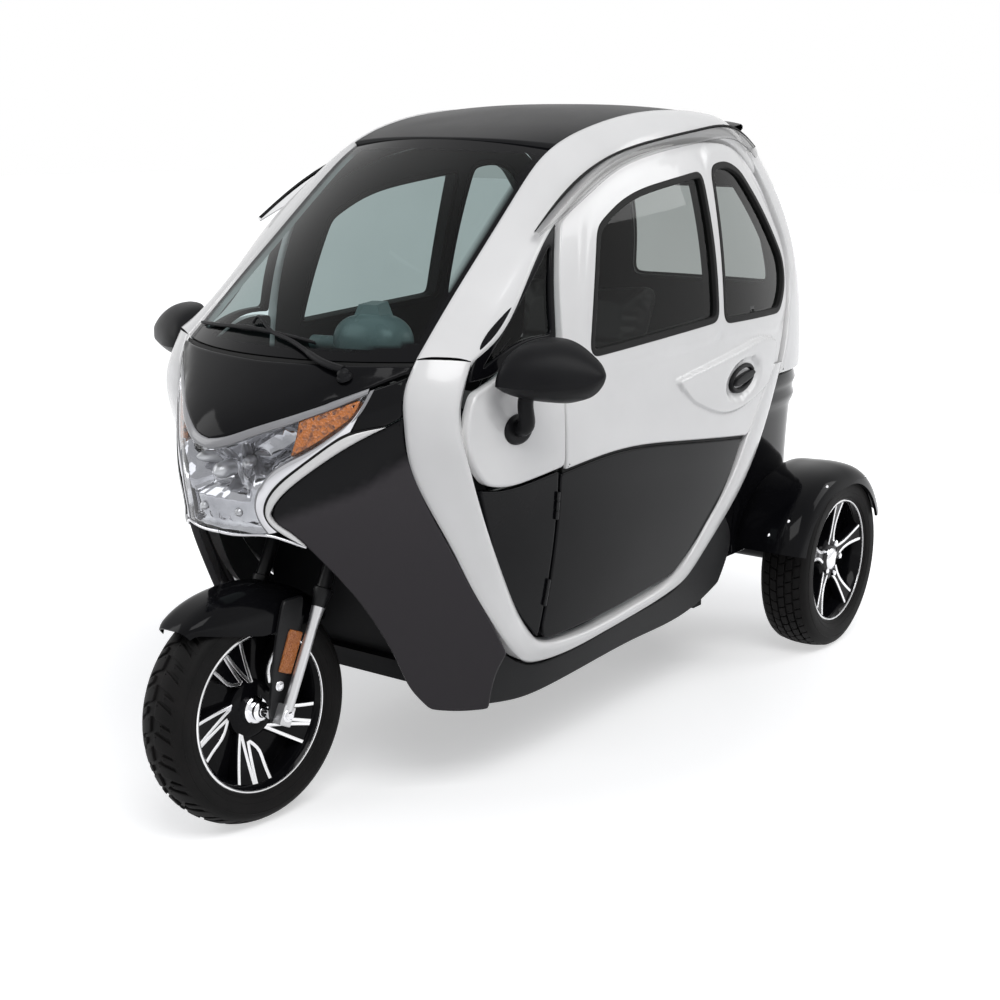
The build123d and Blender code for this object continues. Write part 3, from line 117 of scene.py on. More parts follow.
def outline(*runs, step=8, corner=0):
    """Closed anticlockwise outline from runs that meet end to end, with its corners rounded."""
    loop = resampled(np.vstack([run(r, step)[:-1] for r in runs]), step)
    if corner:
        spread = np.exp(-2 * (math.pi * np.fft.fftfreq(len(loop)) * 0.6 * corner / step) ** 2)
        loop = np.real(np.fft.ifft(np.fft.fft(loop, axis=0) * spread[:, None], axis=0))
    return anticlockwise(loop)


def boxed(low, high, step=8, corner=0):
    """Outline of a box between two corners, with its own corners rounded."""
    (x0, z0), (x1, z1) = low, high
    return outline(
        ((x0, z0), (x1, z0)), ((x1, z0), (x1, z1)), ((x1, z1), (x0, z1)), ((x0, z1), (x0, z0)),
        step=step, corner=corner,
    )


def ellipse(centre, half_long, half_high, tilt=0.0, count=64):
    """Closed ellipse outline; tilt in degrees."""
    a = np.linspace(0, 2 * math.pi, count, endpoint=False)
    u, v = half_long * np.cos(a), half_high * np.sin(a)
    c, s = math.cos(math.radians(tilt)), math.sin(math.radians(tilt))
    return np.stack([centre[0] + u * c - v * s, centre[1] + u * s + v * c], 1)


def sideways(loop):
    """Unit directions to the right of a closed loop: out of an anticlockwise one."""
    tangent = np.roll(loop, -1, axis=0) - np.roll(loop, 1, axis=0)
    tangent /= np.linalg.norm(tangent, axis=1)[:, None] + 1e-9
    return np.stack([tangent[:, 1], -tangent[:, 0]], 1)


def grown(loop, amount):
    """A closed loop moved out by an amount."""
    return loop + sideways(loop) * amount


def within(points, loop):
    """Which points lie inside a closed loop."""
    x, y = points[:, 0][:, None], points[:, 1][:, None]
    a, b = loop, np.roll(loop, -1, axis=0)
    crossing = (a[:, 1] > y) != (b[:, 1] > y)
    slope = np.where(b[:, 1] == a[:, 1], 1e-9, b[:, 1] - a[:, 1])
    cut = (b[:, 0] - a[:, 0]) * (y - a[:, 1]) / slope + a[:, 0]
    return np.sum(crossing & (x < cut), axis=1) % 2 == 1


def nearest(points, loop):
    """Distance from each point to the points of a loop."""
    best = np.full(len(points), 1e9)
    for start in range(0, len(loop), 200):
        gap = points[:, None, :] - loop[None, start:start + 200, :]
        best = np.minimum(best, np.sqrt((gap**2).sum(2)).min(1))
    return best


def smoothstep(t):
    t = np.clip(t, 0, 1)
    return t * t * (3 - 2 * t)


def pad(points, loop, height, soft):
    """Height field of a raised pad with sloping sides."""
    depth = np.where(within(points, loop), nearest(points, loop), -nearest(points, loop))
    return height * smoothstep(depth / soft + 0.5)


# Shapes: points and faces

def joined(*shapes):
    points, faces, base = [], [], 0
    for p, f in shapes:
        points.append(p)
        faces += [tuple(i + base for i in face) for face in f]
        base += len(p)
    return np.vstack(points), faces


def flipped(faces):
    return [tuple(reversed(face)) for face in faces]


def facing(points, face, direction):
    """How far a face looks along a direction, below zero where it looks the other way."""
    a, b, c = (points[i] for i in face[:3])
    return np.dot(np.cross(b - a, c - a), direction)


def mirrored(shape):
    points, faces = shape
    return points * (-1, 1, 1), flipped(faces)


def both(shape):
    return joined(shape, mirrored(shape))


def grid(points, closed_u=False, closed_v=False):
    """Quads over a table of points (u, v, 3)."""
    nu, nv = points.shape[:2]
    faces = []
    for u in range(nu if closed_u else nu - 1):
        for v in range(nv if closed_v else nv - 1):
            a, b = (u + 1) % nu, (v + 1) % nv
            faces.append((u * nv + v, a * nv + v, a * nv + b, u * nv + b))
    return points.reshape(-1, 3), faces


def moved(shape, matrix):
    """A shape in frame axes (x, y, z) carried by a matrix into (x, s, z)."""
    points, faces = shape
    turned = points @ np.array(matrix.to_3x3()).T + np.array(matrix.translation)
    turned[:, 1] -= FRONT_AXLE_Y
    return turned, faces


def outwards(shape, middle):
    """An open shell with its faces turned away from a middle point."""
    points, faces = shape
    total = 0.0
    for face in faces[::max(len(faces) // 400, 1)]:
        total += np.sign(facing(points, face, points[face[0]] - np.asarray(middle, float)))
    return (points, faces) if total > 0 else (points, flipped(faces))


def closed(shape):
    """A closed shell with its faces turned out."""
    points, faces = shape
    volume = 0.0
    for face in faces:
        a = points[face[0]]
        for i in range(1, len(face) - 1):
            volume += np.dot(a, np.cross(points[face[i]], points[face[i + 1]]))
    return (points, faces) if volume > 0 else (points, flipped(faces))


def lofted(rings):
    """A closed piece through rings of points, with a face over both ends."""
    points, faces = grid(np.asarray(rings), closed_v=True)
    n = len(rings[0])
    faces += [tuple(range(n)), tuple(reversed(range(len(points) - n, len(points))))]
    return closed((points, faces))


def skin(surface, outward):
    """place(points, depth) for a surface: points in its own two values, depth inwards."""
    def place(p, depth=0.0):
        base = surface(p)
        across = surface(p + (1.0, 0.0)) - surface(p - (1.0, 0.0))
        along = surface(p + (0.0, 1.0)) - surface(p - (0.0, 1.0))
        normal = np.cross(across, along)
        normal /= np.linalg.norm(normal, axis=1)[:, None] + 1e-9
        normal *= np.sign(normal @ np.array(outward, float))[:, None]
        return base - normal * np.reshape(depth, (-1, 1))
    return place


def filled(loop, holes, step, guides=()):
    """Points and triangles inside a loop less its holes; the loops' points come first and guides are kept."""
    loops = [loop, *holes]
    low, high = loop.min(0), loop.max(0)
    nx = int((high[0] - low[0]) / step) + 2
    ny = int((high[1] - low[1]) / (step * 0.87)) + 2
    gx, gy = np.meshgrid(np.arange(nx), np.arange(ny))
    spots = np.stack([low[0] + (gx + 0.5 * (gy % 2)) * step, low[1] + gy * step * 0.87], -1).reshape(-1, 2)
    spots = spots[within(spots, loop)]
    for hole in holes:
        spots = spots[~within(spots, hole)]
    marks = [guide[within(guide, loop)] for guide in guides]
    for edge in [*loops, *marks]:
        if len(spots) and len(edge):
            spots = spots[nearest(spots, edge) > step * 0.55]
    for edge in loops:
        marks = [mark[nearest(mark, edge) > step * 0.55] if len(mark) else mark for mark in marks]
    points = np.vstack([*loops, spots, *marks])
    edges, base = [], 0
    for edge in loops:
        edges += [(base + i, base + (i + 1) % len(edge)) for i in range(len(edge))]
        base += len(edge)
    out, _, faces, origin, _, _ = delaunay_2d_cdt([Vector(p) for p in points], edges, [], 0, 1e-5)
    source = [o[0] if o else -1 for o in origin]
    flat = np.array([tuple(p) for p in out])
    triangles = np.array(faces)
    middles = flat[triangles].mean(1)
    keep = within(middles, loop)
    for hole in holes:
        keep &= ~within(middles, hole)
    return points, [tuple(source[i] for i in f) for f in triangles[keep] if min(source[i] for i in f) >= 0]


def panel(edge, place, holes=(), step=16, bevel=3.0, wall=12.0, guides=()):
    """A moulded panel: skin over an outline less its holes, its edges rounded and turned in by the wall."""
    loops = [edge, *[hole[::-1] for hole in holes]]
    turns = [(-bevel - 3, 0.0), (-bevel, 0.0)]
    turns += [(bevel * (math.sin(a) - 1), bevel * (1 - math.cos(a))) for a in (0.5, 1.05, math.pi / 2)]
    turns.append((0.0, wall))
    flats = [loop + sideways(loop) * turns[0][0] for loop in loops]
    flat, faces = filled(flats[0], flats[1:], step, guides)
    points = [place(flat)]
    base, start = len(flat), 0
    for loop in loops:
        n = len(loop)
        ring = [start + i for i in range(n)]
        for offset, depth in turns[1:]:
            points.append(place(loop + sideways(loop) * offset, depth))
            nxt = [base + i for i in range(n)]
            faces += [(nxt[i], nxt[(i + 1) % n], ring[(i + 1) % n], ring[i]) for i in range(n)]
            ring, base = nxt, base + n
        start += n
    points = np.vstack(points)
    probe = flat[:1] if len(flat) else edge[:1]
    out = (place(probe) - place(probe, 5.0))[0]
    return points, flipped(faces) if facing(points, faces[0], out) < 0 else faces


def sheet(edge, place, depth=0.0, step=24, holes=(), inward=False):
    """A thin pane, or the lining of a panel, over an outline less its holes."""
    flat, faces = filled(edge, list(holes), step)
    points = place(flat, depth)
    out = (place(flat[:1]) - place(flat[:1], 5.0))[0]
    looks_in = facing(points, faces[0], out) < 0
    return points, flipped(faces) if looks_in != inward else faces


def band_normals(outer, inner, outward):
    along = np.gradient(outer + inner, axis=0)
    normal = np.cross(inner - outer, along)
    normal /= np.linalg.norm(normal, axis=1)[:, None] + 1e-9
    return normal * np.sign(np.einsum("ij,ij->i", normal, outward))[:, None]


def band_lining(outer, inner, outward, depth):
    """The inner face of a swept band."""
    normal = band_normals(outer, inner, outward)
    rows = np.stack([(outer * (1 - w) + inner * w) - normal * depth for w in (0.0, 0.35, 0.65, 1.0)], 1)
    points, faces = grid(rows)
    looks_out = facing(points, faces[len(faces) // 2], normal[len(outer) // 2]) > 0
    return points, flipped(faces) if looks_out else faces


def band(outer, inner, outward, crown=6.0, wall=22.0, cuts=12):
    """A swept band between two edges with the same number of points, crowned and turned in at both edges."""
    normal = band_normals(outer, inner, outward)
    rows = [outer - normal * wall, outer - normal * 5]
    for w in np.linspace(0, 1, cuts):
        rise = crown * (1 - abs(2 * w - 1) ** 3.0)
        rows.append(outer * (1 - w) + inner * w + normal * rise)
    rows += [inner - normal * 5, inner - normal * wall]
    points, faces = grid(np.stack(rows, 1))
    middle = faces[(len(outer) // 2) * (len(rows) - 1) + len(rows) // 2]
    looks_in = facing(points, middle, normal[len(outer) // 2]) < 0
    return points, flipped(faces) if looks_in else faces


def tube(path, radius, sides=10, closed=False):
    """A round tube along points (x, s, z); radius may vary along it."""
    path = np.asarray(path, float)
    radii = np.broadcast_to(np.asarray(radius, float), (len(path),))
    along = np.gradient(path, axis=0)
    along /= np.linalg.norm(along, axis=1)[:, None]
    lead = np.array([0.0, 0.0, 1.0]) if abs(along[0][2]) < 0.8 else np.array([1.0, 0.0, 0.0])
    rings = []
    for p, d, r in zip(path, along, radii):
        one = np.cross(d, lead)
        one /= np.linalg.norm(one)
        two = np.cross(d, one)
        lead = np.cross(one, d)
        a = np.linspace(0, 2 * math.pi, sides, endpoint=False)
        rings.append(p + r * (np.cos(a)[:, None] * one + np.sin(a)[:, None] * two))
    points, faces = grid(np.array(rings), closed_u=closed, closed_v=True)
    if not closed:
        faces.append(tuple(reversed(range(sides))))
        faces.append(tuple(len(points) - sides + i for i in range(sides)))
    return points, faces


def turned(profile, sides=96):
    """A profile (x, r) turned about the X axis, in frame axes."""
    a = np.linspace(0, 2 * math.pi, sides, endpoint=False)
    profile = np.asarray(profile, float)
    points = np.empty((sides, len(profile), 3))
    points[..., 0] = profile[:, 0]
    points[..., 1] = np.cos(a)[:, None] * profile[:, 1]
    points[..., 2] = np.sin(a)[:, None] * profile[:, 1]
    return grid(points, closed_u=True)


def prism(loop, low, high, bevel=0.0):
    """A plate from a closed (y, z) outline between two x values, its upper edge cut back by the bevel."""
    n = len(loop)
    steps = [(0.0, low), (0.0, high - bevel), (-bevel, high)] if bevel else [(0.0, low), (0.0, high)]
    rings = []
    for offset, x in steps:
        flat = grown(loop, offset) if offset else loop
        rings.append(np.column_stack([np.full(n, x), flat]))
    points, faces = grid(np.array(rings), closed_v=True)
    faces = flipped(faces)
    faces.append(tuple(range(n - 1, -1, -1)))
    faces.append(tuple(len(points) - n + i for i in range(n)))
    return points, faces


def made(name, shape, material, sharp=None):
    """A mesh object from a shape, smooth, with edges over the sharp angle kept crisp."""
    points, faces = shape
    place = np.array(points, float)
    place[:, 1] += FRONT_AXLE_Y
    mesh = bpy.data.meshes.new(name)
    mesh.from_pydata((place * MM).tolist(), [], faces)
    mesh.polygons.foreach_set("use_smooth", [True] * len(mesh.polygons))
    if sharp:
        mesh.set_sharp_from_angle(angle=math.radians(sharp))
    mesh.materials.append(material)
    obj = bpy.data.objects.new(name, mesh)
    bpy.context.scene.collection.objects.link(obj)
    return obj


def fitted(name, shape, material, body, slot, nodes=(), sharp=None):
    """A finished piece that rides on a body and stands for its CAD nodes."""
    obj = made(name, shape, material, sharp)
    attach(obj, body)
    if nodes:
        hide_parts(*nodes)
    return obj


def strip(points, width):
    """Closed outline of a bar of even width along a few points."""
    p = np.asarray(points, float)
    along = np.gradient(p, axis=0)
    along /= np.linalg.norm(along, axis=1)[:, None]
    aside = np.stack([-along[:, 1], along[:, 0]], 1) * width / 2
    loop = resampled(np.vstack([p - aside, (p + aside)[::-1]]), max(width * 0.7, 3.0))
    return anticlockwise(loop)


def ring_tree():
    """Geometry Nodes tree: copies of its geometry evenly round the X axis."""
    tree = bpy.data.node_groups.new("round_the_axle", "GeometryNodeTree")
    face = tree.interface
    face.new_socket("Geometry", in_out="INPUT", socket_type="NodeSocketGeometry")
    face.new_socket("Count", in_out="INPUT", socket_type="NodeSocketInt")
    face.new_socket("Finish", in_out="INPUT", socket_type="NodeSocketMaterial")
    face.new_socket("Geometry", in_out="OUTPUT", socket_type="NodeSocketGeometry")
    nodes, links = tree.nodes, tree.links
    given = nodes.new("NodeGroupInput")
    result = nodes.new("NodeGroupOutput")
    line = nodes.new("GeometryNodeMeshLine")
    line.inputs["Offset"].default_value = (0, 0, 0)
    index = nodes.new("GeometryNodeInputIndex")
    share = nodes.new("ShaderNodeMath")
    share.operation = "DIVIDE"
    angle = nodes.new("ShaderNodeMath")
    angle.operation = "MULTIPLY"
    angle.inputs[1].default_value = 2 * math.pi
    turn = nodes.new("ShaderNodeCombineXYZ")
    copies = nodes.new("GeometryNodeInstanceOnPoints")
    real = nodes.new("GeometryNodeRealizeInstances")
    finish = nodes.new("GeometryNodeSetMaterial")
    links.new(given.outputs["Count"], line.inputs["Count"])
    links.new(index.outputs["Index"], share.inputs[0])
    links.new(given.outputs["Count"], share.inputs[1])
    links.new(share.outputs["Value"], angle.inputs[0])
    links.new(angle.outputs["Value"], turn.inputs["X"])
    links.new(line.outputs["Mesh"], copies.inputs["Points"])
    links.new(given.outputs["Geometry"], copies.inputs["Instance"])
    links.new(turn.outputs["Vector"], copies.inputs["Rotation"])
    links.new(copies.outputs["Instances"], real.inputs["Geometry"])
    links.new(real.outputs["Geometry"], finish.inputs["Geometry"])
    links.new(given.outputs["Finish"], finish.inputs["Material"])
    links.new(finish.outputs["Geometry"], result.inputs["Geometry"])
    return tree


RING_TREE = ring_tree()


def repeated(shape, count, material):
    """Copies of a shape (frame axes, millimetres) evenly round the X axis."""
    points, faces = shape
    mesh = bpy.data.meshes.new("one_copy")
    mesh.from_pydata(points.tolist(), [], faces)
    obj = bpy.data.objects.new("one_copy", mesh)
    bpy.context.scene.collection.objects.link(obj)
    ring = obj.modifiers.new("ring", "NODES")
    ring.node_group = RING_TREE
    inputs = [item for item in RING_TREE.interface.items_tree if item.in_out == "INPUT"]
    sockets = {item.name: item.identifier for item in inputs}
    ring[sockets["Count"]] = count
    ring[sockets["Finish"]] = material
    seen = bpy.context.evaluated_depsgraph_get()
    result = bpy.data.meshes.new_from_object(obj.evaluated_get(seen), depsgraph=seen)
    places = np.empty(len(result.vertices) * 3)
    result.vertices.foreach_get("co", places)
    sides = [tuple(face.vertices) for face in result.polygons]
    bpy.data.objects.remove(obj)
    bpy.data.meshes.remove(mesh)
    bpy.data.meshes.remove(result)
    return places.reshape(-1, 3), sides


# Materials

def node_material(name):
    material = bpy.data.materials.new(name)
    material.use_nodes = True
    nodes = material.node_tree.nodes
    return material, nodes, material.node_tree.links, nodes["Principled BSDF"]


def texture(nodes, links, kind, scale, detail=2.0):
    """A procedural texture on object coordinates."""
    coordinates = nodes.new("ShaderNodeTexCoord")
    tex = nodes.new(kind)
    tex.inputs["Scale"].default_value = scale
    if "Detail" in tex.inputs:
        tex.inputs["Detail"].default_value = detail
    links.new(coordinates.outputs["Object"], tex.inputs["Vector"])
    return tex


def ramp(nodes, links, source, low, high, start=0.3, end=0.7):
    """Colour ramp between two colours."""
    node = nodes.new("ShaderNodeValToRGB")
    node.color_ramp.elements[0].position = start
    node.color_ramp.elements[0].color = (*low, 1)
    node.color_ramp.elements[1].position = end
    node.color_ramp.elements[1].color = (*high, 1)
    links.new(source, node.inputs["Fac"])
    return node


def bump(nodes, links, height, bsdf, strength, distance):
    node = nodes.new("ShaderNodeBump")
    node.inputs["Strength"].default_value = strength
    node.inputs["Distance"].default_value = distance
    links.new(height, node.inputs["Height"])
    links.new(node.outputs["Normal"], bsdf.inputs["Normal"])
    return node


def painted_reflection_mix(nodes, links, paint, painted_reflection):
    """Paint that goes over to a lighter colour where the piece's own attribute marks it: a painted
    reflection, not a second paint.
    """
    share = nodes.new("ShaderNodeAttribute")
    share.attribute_name = "painted_reflection"
    mix = nodes.new("ShaderNodeMix")
    mix.data_type = "RGBA"
    mix.inputs[7].default_value = (*painted_reflection, 1)
    links.new(share.outputs["Fac"], mix.inputs[0])
    links.new(paint, mix.inputs[6])
    return mix.outputs[2]


def surface_finish(name, low, high, rough, metal=0.0, coat=0.0, grain=(60.0, 0.05, 0.001), mottle=6.0,
                   shine=0.5, painted_reflection=None):
    """Paint, plastic or metal: mottled colour, uneven roughness and a grain in the bump."""
    material, nodes, links, bsdf = node_material(name)
    cloud = texture(nodes, links, "ShaderNodeTexNoise", mottle, 4.0)
    colour = ramp(nodes, links, cloud.outputs["Fac"], low, high)
    paint = colour.outputs["Color"]
    # Optional painted reflection: a lighter colour mixed in where the piece's attribute marks it.
    if painted_reflection is not None:
        paint = painted_reflection_mix(nodes, links, paint, painted_reflection)
    links.new(paint, bsdf.inputs["Base Color"])
    wear = nodes.new("ShaderNodeMapRange")
    wear.inputs["To Min"].default_value = rough[0]
    wear.inputs["To Max"].default_value = rough[1]
    links.new(cloud.outputs["Fac"], wear.inputs["Value"])
    links.new(wear.outputs["Result"], bsdf.inputs["Roughness"])
    bsdf.inputs["Metallic"].default_value = metal
    bsdf.inputs["Specular IOR Level"].default_value = shine
    bsdf.inputs["Coat Weight"].default_value = coat
    bsdf.inputs["Coat Roughness"].default_value = 0.03
    fine = texture(nodes, links, "ShaderNodeTexNoise", grain[0], 3.0)
    bump(nodes, links, fine.outputs["Fac"], bsdf, grain[1], grain[2])
    return material


def see_through(name, tint, mirrored_share=0.04, band_colour=None):
    """Glass or clear plastic: tinted straight through, with more mirror at a flat angle, from both sides."""
    material, nodes, links, bsdf = node_material(name)
    nodes.remove(bsdf)
    clear = nodes.new("ShaderNodeBsdfTransparent")
    haze = texture(nodes, links, "ShaderNodeTexNoise", 3.0, 3.0)
    shade = ramp(nodes, links, haze.outputs["Fac"], tint, [min(1.0, c * 1.06) for c in tint])
    links.new(shade.outputs["Color"], clear.inputs["Color"])
    mirror = nodes.new("ShaderNodeBsdfGlossy")
    mirror.inputs["Roughness"].default_value = 0.02
    angle = nodes.new("ShaderNodeLayerWeight")
    angle.inputs["Blend"].default_value = 0.5
    steep = nodes.new("ShaderNodeMath")
    steep.operation = "POWER"
    steep.inputs[1].default_value = 5.0
    links.new(angle.outputs["Facing"], steep.inputs[0])
    share = nodes.new("ShaderNodeMapRange")
    share.inputs["To Min"].default_value = mirrored_share
    share.inputs["To Max"].default_value = 0.9
    links.new(steep.outputs["Value"], share.inputs["Value"])
    mix = nodes.new("ShaderNodeMixShader")
    links.new(share.outputs["Result"], mix.inputs["Fac"])
    links.new(mirror.outputs["BSDF"], mix.inputs[2])
    below = clear.outputs["BSDF"]
    if band_colour is not None:
        edge = nodes.new("ShaderNodeAttribute")
        edge.attribute_name = "band"
        dark = nodes.new("ShaderNodeBsdfDiffuse")
        dark.inputs["Color"].default_value = (*band_colour, 1)
        under = nodes.new("ShaderNodeMixShader")
        links.new(edge.outputs["Fac"], under.inputs["Fac"])
        links.new(clear.outputs["BSDF"], under.inputs[1])
        links.new(dark.outputs["BSDF"], under.inputs[2])
        below = under.outputs["Shader"]
    links.new(below, mix.inputs[1])
    links.new(mix.outputs["Shader"], nodes["Material Output"].inputs["Surface"])
    return material


WHITE = surface_finish("pearl_white", (0.73, 0.725, 0.72), (0.77, 0.765, 0.76), (0.18, 0.26), coat=0.35,
                       grain=(900.0, 0.02, 0.0004))
BLACK = surface_finish("gloss_black", (0.003, 0.003, 0.004), (0.006, 0.006, 0.007), (0.05, 0.11),
                       grain=(700.0, 0.015, 0.0004), shine=0.08)
# Gloss black with a painted reflection: lighter in colour where the fairing's lower face would mirror the
# floor.
PAINTED_REFLECTION_BLACK = surface_finish("gloss_black_painted_reflection", (0.003, 0.003, 0.004), (0.006, 0.006, 0.007), (0.05, 0.11),
                       grain=(700.0, 0.015, 0.0004), shine=0.10, painted_reflection=(0.040, 0.036, 0.040))
TRIM = surface_finish("cabin_trim", (0.010, 0.010, 0.011), (0.018, 0.018, 0.019), (0.5, 0.65),
                      grain=(1100.0, 0.3, 0.0005), shine=0.2)
SATIN = surface_finish("satin_black", (0.008, 0.008, 0.009), (0.015, 0.015, 0.016), (0.32, 0.46),
                       grain=(1400.0, 0.25, 0.0004), shine=0.08)
RUBBER = surface_finish("seal_rubber", (0.006, 0.006, 0.006), (0.012, 0.012, 0.012), (0.5, 0.65),
                        grain=(800.0, 0.3, 0.0005), shine=0.12)
TYRE = surface_finish("tyre_rubber", (0.005, 0.005, 0.005), (0.012, 0.011, 0.011), (0.5, 0.72),
                      grain=(350.0, 0.35, 0.0006), mottle=14.0, shine=0.1)
CHROME = surface_finish("chrome", (0.80, 0.80, 0.82), (0.88, 0.88, 0.90), (0.03, 0.09), metal=1.0,
                        grain=(80.0, 0.02, 0.0004))
LAMP_METAL = surface_finish("lamp_reflector", (0.30, 0.30, 0.32), (0.50, 0.50, 0.52), (0.04, 0.1), metal=1.0,
                            grain=(80.0, 0.02, 0.0004), mottle=16.0)
BRIGHT = surface_finish("bright_trim", (0.44, 0.44, 0.46), (0.54, 0.54, 0.56), (0.1, 0.2), metal=1.0,
                        grain=(300.0, 0.04, 0.0003))
MACHINED = surface_finish("machined_alloy", (0.70, 0.70, 0.71), (0.84, 0.84, 0.85), (0.14, 0.26), metal=1.0,
                          grain=(1600.0, 0.12, 0.0003))
CAST = surface_finish("cast_alloy", (0.42, 0.42, 0.43), (0.56, 0.56, 0.57), (0.32, 0.48), metal=1.0,
                      grain=(500.0, 0.25, 0.0005))
SILVER = surface_finish("silver_paint", (0.56, 0.56, 0.57), (0.66, 0.66, 0.67), (0.28, 0.38), metal=0.85,
                        grain=(500.0, 0.1, 0.0004))
STEEL = surface_finish("painted_steel", (0.009, 0.009, 0.010), (0.016, 0.016, 0.017), (0.25, 0.4),
                       grain=(300.0, 0.12, 0.0005), shine=0.2)
# Opaque light grey for the thick clear edge of the lens: a painted sheen of the light in that edge.
LENS_EDGE_PAINTED_SHEEN = surface_finish("lens_edge_painted_sheen", (0.21, 0.21, 0.22), (0.27, 0.27, 0.28), (0.2, 0.3), coat=0.3,
                      grain=(900.0, 0.05, 0.0003))
TINTED = see_through("tinted_glass", (0.47, 0.49, 0.48), 0.012)
SCREEN_GLASS = see_through("windscreen_glass", (0.46, 0.55, 0.55), 0.012, (0.004, 0.004, 0.005))
CLEAR = see_through("lamp_lens", (0.86, 0.87, 0.88), 0.03)
ACRYLIC = see_through("visor_acrylic", (0.66, 0.66, 0.66), 0.06)


def faceted(name, low, high, scale):
    """Moulded lamp plastic with cut facets in the bump, each facet's colour lighter or darker at random as
    painted glints and shade.
    """
    material, nodes, links, bsdf = node_material(name)
    cells = texture(nodes, links, "ShaderNodeTexVoronoi", scale)
    shade = nodes.new("ShaderNodeSeparateColor")
    links.new(cells.outputs["Color"], shade.inputs["Color"])
    # Painted glints and shade: each facet's colour runs from dark to bright at random.
    colour = ramp(nodes, links, shade.outputs["Red"], low, high, 0.15, 0.95)
    links.new(colour.outputs["Color"], bsdf.inputs["Base Color"])
    bsdf.inputs["Roughness"].default_value = 0.12
    bsdf.inputs["Coat Weight"].default_value = 0.2
    bsdf.inputs["Coat Roughness"].default_value = 0.02
    bump(nodes, links, cells.outputs["Distance"], bsdf, 0.9, 0.003)
    return material


def leather(name, low, high):
    """Seat leather: pebbled grain over a soft mottle."""
    material, nodes, links, bsdf = node_material(name)
    cloud = texture(nodes, links, "ShaderNodeTexNoise", 9.0, 5.0)
    colour = ramp(nodes, links, cloud.outputs["Fac"], low, high)
    links.new(colour.outputs["Color"], bsdf.inputs["Base Color"])
    bsdf.inputs["Roughness"].default_value = 0.45
    pebbles = texture(nodes, links, "ShaderNodeTexVoronoi", 420.0)
    bump(nodes, links, pebbles.outputs["Distance"], bsdf, 0.35, 0.0008)
    return material


AMBER = faceted("amber_lens", (0.05, 0.005, 0.0), (0.72, 0.19, 0.002), 105.0)
RED = faceted("red_lens", (0.30, 0.004, 0.006), (0.62, 0.015, 0.02), 150.0)
REFLECTOR = faceted("amber_reflector", (0.42, 0.11, 0.02), (0.60, 0.20, 0.05), 320.0)
LEATHER = leather("seat_leather", (0.014, 0.014, 0.015), (0.026, 0.026, 0.027))
POD = surface_finish("pod_plastic", (0.26, 0.32, 0.32), (0.34, 0.41, 0.41), (0.22, 0.34),
                     grain=(900.0, 0.15, 0.0004))


# Body skins

# Half widths at five heights for each station of the side.
SIDE_HEIGHTS = (185, 560, 900, 1130, 1400)
SIDE_STATIONS = (190, 520, 950, 1400, 1700)
SIDE_WIDTHS = (
    # one row per height, one column per station
    (305, 345, 352, 346, 318),
    (380, 416, 430, 418, 376),
    (390, 414, 427, 414, 368),
    (350, 380, 395, 378, 328),
    (280, 312, 325, 305, 250),
)
# Plan form of the nose at six heights.
NOSE_HEIGHTS = (200, 420, 620, 800, 890, 945)
NOSE_FORM = {
    "tip": (95, 0, -62, -80, 12, 80),
    "corner_x": (112, 112, 112, 128, 215, 290),
    "corner_s": (110, 15, -47, -42, 58, 146),
    "rear_x": (338, 392, 400, 396, 392, 388),
    "rear_s": (366, 318, 258, 232, 222, 222),
}
NOSE_SOFT = 22


def side_x(s, z):
    widths = np.stack([through(SIDE_STATIONS, row, s) for row in SIDE_WIDTHS])
    return through(SIDE_HEIGHTS, widths, z)


def nose_s(x, z):
    form = {key: through(NOSE_HEIGHTS, row, z) for key, row in NOSE_FORM.items()}
    x = np.abs(x)
    sweep = (form["rear_s"] - form["corner_s"]) / (form["rear_x"] - form["corner_x"])
    bow = (form["corner_s"] - form["tip"]) / form["corner_x"] ** 2
    past = NOSE_SOFT * np.log1p(np.exp(np.clip((x - form["corner_x"]) / NOSE_SOFT, -40, 40)))
    return form["tip"] + bow * np.minimum(x, form["corner_x"]) ** 2 + sweep * past


def on_side(proud=0.0, field=None):
    """Side skin from (s, z), standing proud by an amount or a height field."""
    def surface(p):
        lift = proud + (field(p) if field else 0.0)
        return np.column_stack([side_x(p[:, 0], p[:, 1]) + lift, p[:, 0], p[:, 1]])
    return skin(surface, (1, 0, 0))


def on_nose(proud=0.0, field=None):
    """Nose skin from (x, z)."""
    def surface(p):
        lift = proud + (field(p) if field else 0.0)
        return np.column_stack([p[:, 0], nose_s(p[:, 0], p[:, 1]) - lift, p[:, 1]])
    return skin(surface, (0, -1, 0))


# Side frames

# Upper rail from the foot of the windscreen to the tail: outer edge x, s, z and inner edge s, z.
RAIL = (
    (305, 166, 949, 228, 946),
    (296, 285, 1050, 314, 983),
    (287, 410, 1150, 420, 1082),
    (278, 540, 1254, 524, 1181),
    (274, 630, 1318, 612, 1232),
    (282, 800, 1380, 790, 1305),
    (287, 1040, 1414, 1040, 1349),
    (285, 1290, 1412, 1290, 1354),
    (272, 1420, 1396, 1400, 1331),
    (252, 1530, 1366, 1492, 1270),
)
